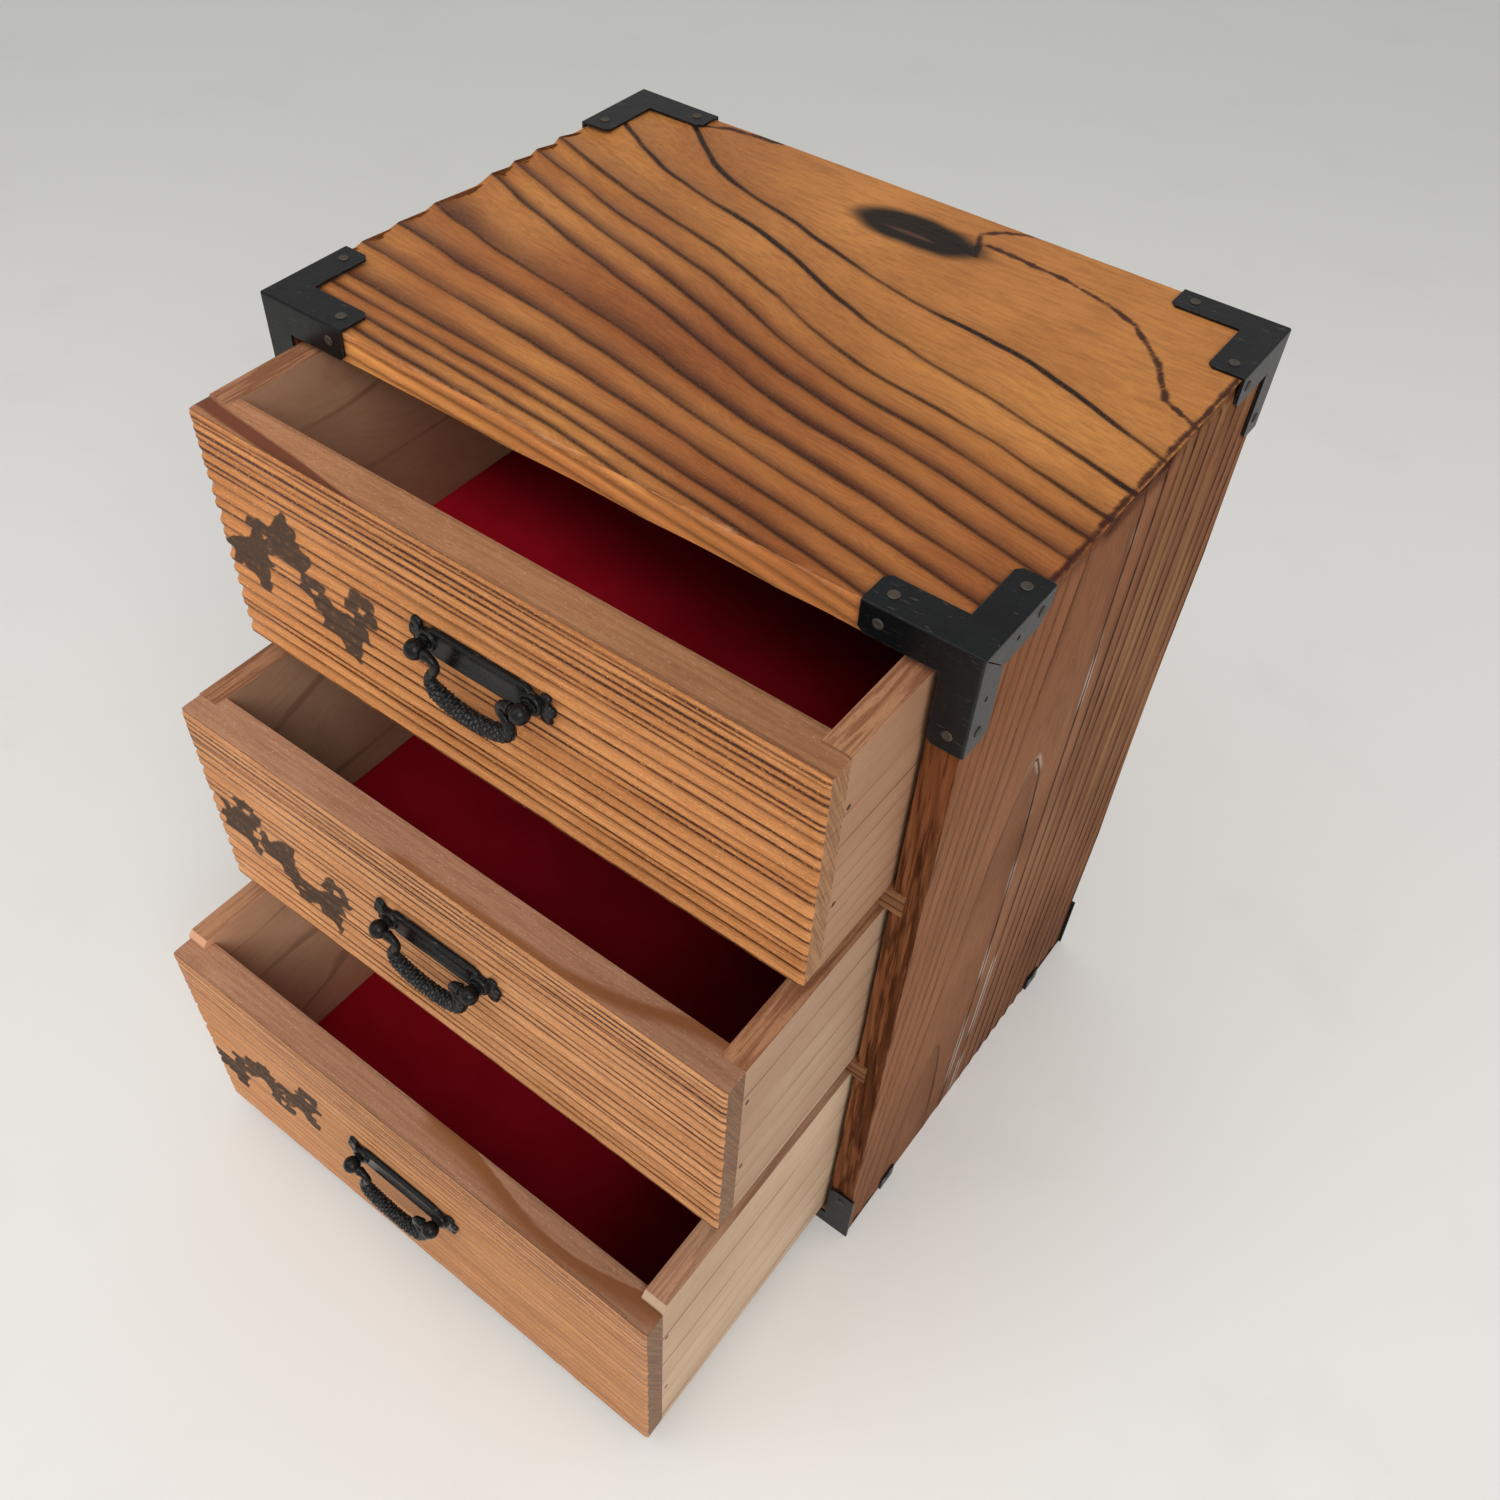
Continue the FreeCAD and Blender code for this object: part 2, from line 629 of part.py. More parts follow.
os.makedirs("parts", exist_ok=True)
for node, shape in chest().items():
    shape.exportStep(f"parts/{node}.step")
    box = shape.BoundBox
    print(f"{node}: solids {len(shape.Solids)} volume {shape.Volume:.1f} valid {shape.isValid()} "
          f"x {box.XMin:.2f}..{box.XMax:.2f} y {box.YMin:.2f}..{box.YMax:.2f} z {box.ZMin:.2f}..{box.ZMax:.2f}")
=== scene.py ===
"""Small tansu chest: brushed cedar case, sheet-iron corners, felt-lined drawers with bail pulls.

Lengths are millimetres in the helper functions and metres in the meshes (see MM).
Wooden pieces carry a "grain" attribute: millimetres along the grain, growth-ring number,
millimetres across.  Hard dark lines lie at whole ring numbers, in colour and in relief.
"""
import math
import bmesh
import bpy
import numpy as np
from mathutils import Matrix, Vector


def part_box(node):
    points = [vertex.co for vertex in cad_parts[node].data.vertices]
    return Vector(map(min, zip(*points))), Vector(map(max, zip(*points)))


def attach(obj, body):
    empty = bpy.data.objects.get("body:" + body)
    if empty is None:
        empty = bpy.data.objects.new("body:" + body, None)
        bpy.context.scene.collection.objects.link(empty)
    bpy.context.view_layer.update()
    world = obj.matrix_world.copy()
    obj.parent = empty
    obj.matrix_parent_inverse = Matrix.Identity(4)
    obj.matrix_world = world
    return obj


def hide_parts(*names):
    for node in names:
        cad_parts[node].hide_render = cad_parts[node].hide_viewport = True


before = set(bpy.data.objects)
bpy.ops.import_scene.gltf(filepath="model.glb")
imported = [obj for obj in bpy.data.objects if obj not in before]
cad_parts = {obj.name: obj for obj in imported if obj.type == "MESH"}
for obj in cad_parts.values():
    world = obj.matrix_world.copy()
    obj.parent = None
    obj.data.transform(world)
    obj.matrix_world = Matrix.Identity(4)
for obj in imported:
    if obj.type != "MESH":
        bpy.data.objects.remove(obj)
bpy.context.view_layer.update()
bpy.context.scene.view_settings.view_transform = "Standard"
MM = 0.001
DRAWERS = ("top_drawer", "middle_drawer", "lower_drawer")


def node_box(node):
    """The node's lowest and highest corners in millimetres."""
    low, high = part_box(node)
    return np.array(low) / MM, np.array(high) / MM


# ================ smooth noise for relief
def noise2(x, y, seed):
    """Smooth value noise between -1 and 1 on a unit lattice."""
    table = np.random.RandomState(seed).rand(128, 128) * 2 - 1
    x, y = np.broadcast_arrays(np.asarray(x, float), np.asarray(y, float))
    xi, yi = np.floor(x).astype(int), np.floor(y).astype(int)
    fx, fy = x - xi, y - yi
    fx, fy = fx * fx * (3 - 2 * fx), fy * fy * (3 - 2 * fy)

    def corner(i, j):
        return table[(xi + i) % 128, (yi + j) % 128]

    near = corner(0, 0) * (1 - fx) + corner(1, 0) * fx
    far = corner(0, 1) * (1 - fx) + corner(1, 1) * fx
    return near * (1 - fy) + far * fy


def smoothstep(low, high, value):
    """0 up to the low value, 1 from the high value, smooth between them."""
    t = np.clip((value - low) / (high - low), 0, 1)
    return t * t * (3 - 2 * t)


def hollow(ring, power=0.8):
    """0 on a hard grain line, 1 midway between two: the shape brushing leaves."""
    return np.sin(np.pi * (ring - np.floor(ring))) ** power


# ================ meshes
def linked(name, data):
    """A new object in the scene."""
    thing = bpy.data.objects.new(name, data)
    bpy.context.collection.objects.link(thing)
    return thing


def make_object(name, points, faces, material, attributes=None, sharp=35):
    """A mesh object at the origin from points in millimetres, smooth up to the sharp angle."""
    mesh = bpy.data.meshes.new(name)
    mesh.from_pydata((np.asarray(points).reshape(-1, 3) * MM).tolist(), [], [list(f) for f in faces])
    for key, values in (attributes or {}).items():
        kind, field = ("FLOAT_VECTOR", "vector") if key == "grain" else ("FLOAT", "value")
        mesh.attributes.new(key, kind, "POINT").data.foreach_set(field, np.ravel(values).astype(float))
    mesh.materials.append(material)
    outward = bmesh.new()
    outward.from_mesh(mesh)
    bmesh.ops.recalc_face_normals(outward, faces=outward.faces)
    outward.to_mesh(mesh)
    outward.free()
    mesh.shade_smooth()
    mesh.set_sharp_from_angle(angle=math.radians(sharp))
    return linked(name, mesh)


def loft_faces(stations, count, first=0, caps=True, hub=None):
    """Quads between closed sections of count points each, and a cap on either end.

    A hub is the section point from which a hollow section's caps are fanned."""
    start = first + np.arange(stations - 1)[:, None] * count
    here = start + np.arange(count)
    beside = start + (np.arange(count) + 1) % count
    quads = np.stack([here, beside, beside + count, here + count], -1)
    faces = quads.reshape(-1, 4).tolist()
    for end in (first, first + (stations - 1) * count) if caps else ():
        if hub is None:
            faces.append(list(range(end, end + count)))
        else:
            fan = [(hub + i) % count for i in range(1, count)]
            faces += [[end + hub % count, end + a, end + b] for a, b in zip(fan, fan[1:])]
    return faces


def place(thing, body, slot, *nodes):
    """Rides the piece on its body and hides the CAD nodes it stands for; the slot is not used."""
    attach(thing, body)
    if nodes:
        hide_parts(*nodes)
    return thing


# ================ shader helper
class Graph:
    """Builds a node tree with short calls; sockets and plain numbers mix freely.

    The colour is laid on coat by coat and kept in the graph until it is finished."""

    def __init__(self, name):
        self.material = bpy.data.materials.new(name)
        self.material.use_nodes = True
        self.tree = self.material.node_tree
        self.shader = self.tree.nodes["Principled BSDF"]
        self.color = None

    def node(self, kind, *inputs, **settings):
        """A node with its settings made and its inputs fed in their order."""
        made = self.tree.nodes.new("ShaderNode" + kind)
        for key, value in settings.items():
            setattr(made, key, value)
        for socket, value in zip(made.inputs, inputs):
            self.feed(socket, value)
        return made

    def feed(self, socket, value):
        """Links a socket or sets a plain value; None leaves the socket as it is."""
        if isinstance(value, bpy.types.NodeSocket):
            self.tree.links.new(value, socket)
        elif isinstance(value, tuple) and socket.type == "RGBA":
            socket.default_value = (*value, 1.0)
        elif value is not None:
            socket.default_value = value

    def math(self, operation, a, b=None, clamp=False):
        return self.node("Math", a, b, operation=operation, use_clamp=clamp).outputs[0]

    def mul(self, a, b):
        return self.math("MULTIPLY", a, b)

    def add(self, a, b):
        return self.math("ADD", a, b)

    def sub(self, a, b):
        return self.math("SUBTRACT", a, b)

    def ramp(self, value, low, high, start=0.0, end=1.0):
        """Maps low..high smoothly to start..end, clamped."""
        return self.node("MapRange", value, low, high, start, end,
                         interpolation_type="SMOOTHSTEP").outputs[0]

    def mix(self, share, a, b, blend="MIX"):
        """Blends two colours; the share is clamped to 0..1."""
        made = self.node("Mix", data_type="RGBA", blend_type=blend)
        for index, value in zip((0, 6, 7), (share, a, b)):
            self.feed(made.inputs[index], value)
        return made.outputs[2]

    def coat(self, share, tint, blend="MIX"):
        """Lays a tint over the colour so far."""
        self.color = self.mix(share, self.color, tint, blend)

    def scaled(self, color, factor):
        """The colour times one number."""
        return self.mix(1.0, color, self.join(factor, factor, factor), "MULTIPLY")

    def split(self, vector):
        return self.node("SeparateXYZ", vector).outputs[:]

    def join(self, x, y, z):
        return self.node("CombineXYZ", x, y, z).outputs[0]

    def attribute(self, name, output="Fac"):
        return self.node("Attribute", attribute_name=name).outputs[output]

    def noise(self, place, scale=1.0, detail=2.0, roughness=0.5):
        """Noise at a place; with three scales the place is given as three axes, each scaled."""
        if isinstance(scale, tuple):
            place = self.join(*[self.mul(axis, share) for axis, share in zip(place, scale)])
            scale = 1.0
        made = self.node("TexNoise")
        for key, value in zip(("Vector", "Scale", "Detail", "Roughness"), (place, scale, detail, roughness)):
            self.feed(made.inputs[key], value)
        return made.outputs[0]

    def place_mm(self):
        """Object coordinates in millimetres."""
        coordinates = self.node("TexCoord").outputs["Object"]
        return self.node("VectorMath", coordinates, None, None, 1 / MM, operation="SCALE").outputs[0]

    def facing(self):
        """The three parts of the unsmoothed normal."""
        return self.split(self.node("NewGeometry").outputs["True Normal"])

    def bump(self, height, strength, distance_mm):
        made = self.node("Bump")
        for key, value in (("Strength", strength), ("Distance", distance_mm * MM), ("Height", height)):
            self.feed(made.inputs[key], value)
        return made.outputs[0]

    def finish(self, roughness, normal, **plain):
        """Feeds the shader; plain values go straight to the inputs of those names."""
        self.feed(self.shader.inputs["Base Color"], self.color)
        self.feed(self.shader.inputs["Roughness"], roughness)
        self.feed(self.shader.inputs["Normal"], normal)
        for key, value in plain.items():
            self.shader.inputs[key.replace("_", " ")].default_value = value
        return self.material


# ================ wood
class Look:
    """Colours and strengths of one wood finish; widths are in millimetres."""

    def __init__(self, pale, warm, late, line, **changes):
        self.pale, self.warm, self.late, self.line = pale, warm, late, line
        self.pitch = None           # ring spacing; None means the mesh's pitch attribute
        self.line_width = 0.5       # half width of a hard line
        self.line_strength = 0.95
        self.faint = 0.6            # share of that strength left where a line is faintest
        self.halo = 0.5             # brown shade beside a hard line
        self.halo_width = 2.0
        self.patches = 1.0          # how far slow patches turn from the pale tone to the warm
        self.late_share = 0.5       # how far the late wood darkens before its hard line
        self.late_start = 0.45
        self.wander = 0.02          # in ring spacings
        self.fibre = 0.3
        self.speckle = 0.2
        self.rough = 0.5
        self.bump = 0.4
        self.dust = 0.0             # pale dust beside the lines right of the heart
        # glint: share of painted glints, bright specks that stand in for highlights.
        self.glint = 0.0            # share of bright specks
        self.bold = None            # two ring numbers between which lines fade, and the two shares
        self.band = None            # two ring numbers between which late wood deepens, and the shares
        for key, value in changes.items():
            setattr(self, key, value)


def board_grain(g, along, across, pitch, tilt, drift, crowd, seed):
    """Ring coordinates for a plain board, from its place: axes are 0, 1 or 2.

    Crowd is the board's lower and upper edge, the lines between, and how they crowd downwards."""
    axes = g.split(g.place_mm())
    through_axis = 3 - along - across
    slow = g.join(g.mul(axes[along], 0.005), g.mul(axes[across], 0.5 / pitch),
                  g.mul(axes[through_axis], 0.03))
    slow = g.node("VectorMath", slow, (seed * 3.7, seed * 1.3, seed), operation="ADD").outputs[0]
    sway = g.mul(g.sub(g.noise(slow), 0.5), drift)
    ring = g.mul(axes[across], 1 / pitch)
    if crowd:
        low, high, count, power = crowd
        depth = g.math("MULTIPLY", g.sub(high, axes[across]), 1 / (high - low), clamp=True)
        ring = g.mul(g.math("POWER", depth, power), count)
    ring = g.add(ring, g.mul(axes[through_axis], tilt / pitch))
    return axes[along], g.add(g.add(ring, sway), seed), axes[through_axis]


def wood(name, look, grain=None, seed=0.0):
    """Wood with soft and hard rings, fibres along the grain, and slow changes of tone.

    Returns the graph with its colour, and the roughness and the normal to finish it with."""
    g = Graph(name)
    if grain is None:
        along, ring, across = g.split(g.attribute("grain", "Vector"))
    else:
        along, ring, across = board_grain(g, *grain, seed=seed)
    pitch = look.pitch or g.attribute("pitch")
    wander = g.noise((along, ring, seed), (0.09, 1.3, 1))
    ring = g.add(ring, g.mul(g.sub(wander, 0.5), look.wander))
    part = g.math("FRACT", ring)
    nearest = g.mul(g.math("MINIMUM", part, g.sub(1.0, part)), pitch)
    number = g.math("ROUND", ring)

    vary = g.noise((along, number, seed + 3), (0.022, 5.3, 1), 2.0, 0.6)
    strength = g.ramp(vary, 0.3, 0.6, look.line_strength * look.faint, look.line_strength)
    width = g.math("MINIMUM", g.mul(pitch, 0.13), look.line_width)
    width = g.mul(g.ramp(vary, 0.3, 0.7, 0.7, 1.3), width)
    if look.bold:
        fade = g.ramp(ring, *look.bold)
        strength = g.mul(strength, fade)
        width = g.mul(width, fade)
    line = g.mul(g.sub(1.0, g.ramp(g.math("DIVIDE", nearest, width), 0.45, 1.35)), strength)
    halo = g.math("POWER", g.sub(1.0, g.ramp(nearest, 0.0, look.halo_width)), 1.6)
    halo = g.mul(halo, g.mul(strength, look.halo))

    patchy = g.noise((along, number, seed + 9), (0.012, 1, 1))
    late = g.mul(g.ramp(part, look.late_start, 1.0), look.late_share)
    late = g.mul(late, g.ramp(patchy, 0.35, 0.65, 0.5, 1.2))
    tone = g.noise((along, ring, seed + 20), (0.015, 0.35, 1), 3.0)
    deeper = g.mul(g.ramp(tone, 0.32, 0.68), look.patches)
    if look.band:
        late = g.mul(late, g.ramp(ring, *look.band))
        deeper = g.add(deeper, g.ramp(ring, look.band[0], look.band[1], 0.0, 0.38))

    fibres = along, g.mul(ring, g.math("MINIMUM", pitch, 8.0)), across
    fibre = g.noise(fibres, (0.08, 1.6, 0.6), 3.0, 0.65)
    fine = g.noise(fibres, (0.5, 5.0, 3.0), 2.0, 0.7)
    g.color = g.mix(deeper, look.pale, look.warm)
    g.coat(g.mul(g.ramp(fibre, 0.35, 0.72), look.fibre), look.late)
    g.coat(late, look.late)
    g.coat(g.mul(g.ramp(fine, 0.56, 0.74), look.speckle), look.line)
    g.coat(halo, look.late)
    g.coat(line, look.line)
    # Painted glints: bright specks that stand in for highlights.
    if look.glint:
        sparks = g.noise(fibres, (1.1, 2.6, 1.5), 2.0, 0.7)
        g.coat(g.mul(g.ramp(sparks, 0.56, 0.72), look.glint), tuple(GLINT * c for c in look.pale))
    if look.dust:
        beside = g.mul(g.ramp(nearest, 0.3, 0.7), g.ramp(nearest, 2.4, 0.8))
        beside = g.mul(g.mul(beside, g.ramp(across, 44.0, 54.0)), g.ramp(ring, 1.9, 1.5))
        patch = g.ramp(g.noise((along, number, seed + 40), (0.024, 9.7, 1), 3.0), 0.47, 0.60)
        g.coat(g.mul(g.mul(beside, patch), look.dust), DUST)
    height = g.add(g.mul(fibre, 0.5), g.mul(fine, 0.35))
    rough = g.add(look.rough, g.mul(g.sub(fine, 0.5), 0.25))
    return g, rough, g.bump(height, look.bump, 0.25)


# GLINT sets how bright the painted glints are.
GLINT = 1.45                # brightness of the bright specks, as a multiple of the pale tone
DUST = (0.47, 0.39, 0.33)
# Waxed wood mirrors little and warmly; one of these goes on every wooden surface.
WOOD_SHEEN = {"Specular_IOR_Level": 0.12, "Specular_Tint": (1.0, 0.78, 0.55, 1.0)}
DULL_SHEEN = {"Specular_IOR_Level": 0.02, "Specular_Tint": (1.0, 0.78, 0.55, 1.0)}

CASE_LOOK = Look((0.60, 0.250, 0.068), (0.325, 0.105, 0.032), (0.085, 0.022, 0.008), (0.009, 0.005, 0.004),
                 line_width=0.8, halo=0.8, halo_width=2.4, late_share=0.75, late_start=0.4, rough=0.38,
                 bold=(2.2, 3.4, 1.0, 0.72), band=(2.6, 4.8, 0.3, 1.25), wander=0.03, glint=0.15, patches=0.6)
SIDE_LOOK = Look((0.32, 0.143, 0.073), (0.225, 0.095, 0.046), (0.095, 0.031, 0.014), (0.020, 0.006, 0.004),
                 line_width=0.55, line_strength=0.95, faint=0.3, halo=0.7, halo_width=1.8, late_share=0.45,
                 rough=0.6, bump=0.5, dust=0.95, wander=0.03, glint=0.12)
SHELF_LOOK = Look((0.32, 0.150, 0.068), (0.23, 0.100, 0.044), (0.12, 0.042, 0.020), (0.030, 0.012, 0.008),
                  pitch=3.4, line_width=0.3, halo=0.4, halo_width=0.8, rough=0.6)
FRONT_LOOK = Look((0.73, 0.325, 0.120), (0.56, 0.230, 0.078), (0.24, 0.074, 0.025), (0.048, 0.016, 0.009),
                  line_width=0.36, faint=0.35, halo=0.85, halo_width=1.3, late_share=0.45, late_start=0.5,
                  fibre=0.45, speckle=0.5, rough=0.36, bump=1.0, wander=0.012, glint=0.65)


def planed_look(brightness, greyness, pitch):
    """Plain drawer timber: pinkish tan with a few thin lines; greyness turns it straw-coloured."""

    def shade(red, green, blue):
        greyed = (red + (green - red) * greyness, green, blue + (green - blue) * greyness * 0.45)
        return tuple(brightness * c for c in greyed)

    return Look(shade(0.45, 0.262, 0.158), shade(0.39, 0.205, 0.118), shade(0.30, 0.130, 0.068),
                shade(0.12, 0.045, 0.024), pitch=pitch, line_width=0.26, line_strength=0.8, halo=0.3,
                halo_width=1.4, late_share=0.2, rough=0.62, bump=0.15, speckle=0.10, fibre=0.25,
                wander=0.03, faint=0.1)


# ================ case boards
HALF_WIDTH, HALF_DEPTH, _ = node_box("right_side")[1]
BAY_HALF = node_box("right_side")[0][0]
TOP_UNDER, CASE_TOP = node_box("top_board")[0][2], node_box("top_board")[1][2]
BAY_BACK = node_box("bottom_board")[1][1]
RABBET_HALF, _, RABBET_TOP = node_box("back_panel")[1]

# Flow of the grain on the top board: ring number, then the line's distance from the back
# edge at six stations from the left end to the right.
TOP_FLOW = ((1, -16, 20, 35.5, 47.5, 54, 69),
            (2, 15, 35.5, 46.5, 64, 72.5, 83.5),
            (3, 39, 52, 62, 78, 85, 95),
            (6, 67, 80, 92, 105, 112, 121),
            (7, 90, 98, 105.5, 115, 122, 129),
            (10, 128, 131, 134, 139, 145, 153))
FLOW_STATIONS = np.linspace(0, 1, 6)
BACK_FADE = 9.0             # behind the first flow line the wood is plain: no ring follows it
FRONT_SPACING = 5.0         # between the rings in front of the last
# Dark veins, as distances from the left and from the back: two leave the knot, one runs
# behind the left corner iron, and one follows the torn right-hand edge.
VEINS = (((120, 17), (127, 19), (122, 8), (127, 3), (136, -1)),
         ((127, 12), (150, 14), (165, 18), (174, 22), (186, 34), (194, 47), (206, 53)),
         ((27, 6), (34, 2), (52, 0)),
         ((203.9, 24), (203.3, 70), (203.9, 160)))
KNOT, KNOT_RADII = (109, 18), (20, 8)
SLIT, SLIT_RADII = (107, 20), (7.5, 1.0)
SIDE_PITCH = 6.5            # ring spacing on the sides
SIDE_LEAN = 0.10            # how the heart of the grain drifts towards the front
FIRST_ARCH, ARCH_SPACING = 71.0, 126.0      # tips of the pointed arches, below the top
ARCH_SPREAD = 252.0         # a larger number makes the arches wider
SIDE_HEART = {"right": 58, "left": 86}      # the arches' middle, from the front edge
TOP_RING_DEPTH, SIDE_RING_DEPTH = 4.2, 3.4  # ring spacing through the boards' thickness


def through(x, knots, values):
    """A smooth curve through a few values (cubic Hermite)."""
    knots, values = np.array(knots, float), np.array(values, float)
    slopes = np.gradient(values, knots)
    i = np.clip(np.searchsorted(knots, x, side="right") - 1, 0, len(knots) - 2)
    span = knots[i + 1] - knots[i]
    t = (x - knots[i]) / span
    return (values[i] * (1 + 2 * t) * (1 - t) ** 2 + slopes[i] * span * t * (1 - t) ** 2
            + values[i + 1] * t * t * (3 - 2 * t) + slopes[i + 1] * span * t * t * (t - 1))


def top_ring(u, v):
    """Growth ring on the top board, u mm from its left end and v mm from its back edge."""
    lines = [through(u / (2 * HALF_WIDTH), FLOW_STATIONS, row[1:]) for row in TOP_FLOW]
    ring = TOP_FLOW[0][0] - 0.85 * (1 - np.exp(np.minimum(v - lines[0], 0) / BACK_FADE))
    for row, following, low, high in zip(TOP_FLOW, TOP_FLOW[1:], lines, lines[1:]):
        ring = ring + np.clip((v - low) / (high - low), 0, 1) * (following[0] - row[0])
    ring = ring + np.maximum(v - lines[-1], 0) / FRONT_SPACING
    uneven = 0.05 * noise2(u / 30, v / 14, 5) + 0.025 * noise2(u / 9, v / 6, 6)
    return ring + uneven * smoothstep(-30, 0, v - lines[0])


def pitch_of(ring_at, u, v):
    """Local ring spacing in millimetres, for lines of an even width."""
    slope_u = ring_at(u + 0.5, v) - ring_at(u - 0.5, v)
    slope_v = ring_at(u, v + 0.5) - ring_at(u, v - 0.5)
    return np.clip(1 / np.maximum(np.hypot(slope_u, slope_v), 1e-3), 1.0, 200.0)


def top_depth(u, v, ring):
    """How far brushing has cut into the top: deep at the left end, slight at the back right."""
    left = np.exp(-(u / 42) ** 2) * (0.3 + 1.1 * smoothstep(18, 36, v) * (1 - smoothstep(66, 110, v)))
    front = 0.55 * smoothstep(55, 115, v) * (1 - 0.6 * u / (2 * HALF_WIDTH))
    uneven = 1 + 0.35 * noise2(u / 35, np.round(ring) * 1.7, 7)
    return (0.10 + left + front) * hollow(ring, 0.9) * uneven


def side_ring(u, v, heart):
    """Growth ring on a side, u mm from its front edge and v mm from its top: pointed arches."""
    reach = u - heart + SIDE_LEAN * v
    reach = np.where(reach < 0, -1.3 * reach, reach)
    straight = ARCH_SPREAD / SIDE_PITCH
    ring = np.minimum(reach, straight) ** 2 / (2 * ARCH_SPREAD)
    ring = ring + np.maximum(reach - straight, 0) / SIDE_PITCH - (v - FIRST_ARCH) / ARCH_SPACING
    return ring + 0.05 * noise2(u / 16, v / 70, 15) + 0.015 * noise2(u / 5, v / 25, 16)


def distance_to(u, v, points):
    """Distance in millimetres from each place to a line through the points."""
    best = np.full(np.shape(u), 1e3)
    for (au, av), (bu, bv) in zip(points, points[1:]):
        du, dv = bu - au, bv - av
        t = np.clip(((u - au) * du + (v - av) * dv) / (du ** 2 + dv ** 2), 0, 1)
        best = np.minimum(best, np.hypot(u - au - t * du, v - av - t * dv))
    return best


def oval(u, v, centre, radii):
    """0 at the centre of an oval, 1 on its rim."""
    return np.hypot((u - centre[0]) / radii[0], (v - centre[1]) / radii[1])


def steps(low, high, spacing):
    """Evenly spaced stations from low to high, about as far apart as the spacing."""
    return np.linspace(low, high, max(2, int(round((high - low) / spacing))) + 1)


def top_board():
    """The top: grain relief above and along its front edge, mitred at both ends."""
    fine = 0.5
    stations = steps(-1, 1, (0.9) / HALF_WIDTH)[:, None]
    y_top = steps(-HALF_DEPTH, HALF_DEPTH, fine)
    z_front = steps(TOP_UNDER, CASE_TOP, fine)
    y = np.concatenate([np.full(len(z_front) - 1, -HALF_DEPTH), y_top,
                        [HALF_DEPTH, BAY_BACK, BAY_BACK, -HALF_DEPTH + 1]])
    z = np.concatenate([z_front[:-1], np.full(len(y_top), CASE_TOP),
                        [RABBET_TOP, RABBET_TOP, TOP_UNDER, TOP_UNDER]])
    on_top, on_front = z > CASE_TOP - 0.01, y < -HALF_DEPTH + 0.01
    below = CASE_TOP - z
    x = stations * (HALF_WIDTH - below)
    y = y + 0 * x
    u, v = x + HALF_WIDTH, HALF_DEPTH - y
    ring = top_ring(u, v) + below / TOP_RING_DEPTH
    edge = np.maximum(0, 1.9 - np.hypot(y + HALF_DEPTH, below))
    edge = edge * (0.20 + 0.18 * noise2(u / 7, v, 21) + 0.12 * noise2(u / 2.2, v, 22))
    relief = top_depth(u, v, ring) + edge
    rough = 0.03 * noise2(u / 1.6, v / 0.7, 23)
    pale_front = smoothstep(100, 130, v) * (1 - smoothstep(95, 150, u))
    marks = {"grain": np.stack([u, ring, v], -1), "front": on_front + 0.0 * x, "arris": edge,
             "pitch": np.where(on_top, pitch_of(top_ring, u, v), TOP_RING_DEPTH),
             "vein": np.min([distance_to(u, v, vein) for vein in VEINS], 0) + 30 * below,
             "knot": oval(u, v, KNOT, KNOT_RADII) + 0.07 * noise2(u / 6, v / 5, 31) + below,
             "slit": oval(u, v, SLIT, SLIT_RADII) + 0.12 * noise2(u / 3, v / 2, 32) + below,
             # deep marks where the top is painted darker, from the middle rightwards; worn marks its paler
             # front, a painted sheen.
             "deep": smoothstep(25, 95, u) * smoothstep(2.0, 4.5, ring) * (1 - pale_front),
             "worn": smoothstep(2.5, 6, ring)}
    points = np.stack([x, y + relief * on_front, z - (relief + rough) * on_top], -1)
    board = make_object("brushed_top", points, loft_faces(*x.shape, hub=-3), wood_top(), marks)
    return place(board, "case", "case_wood", "top_board")


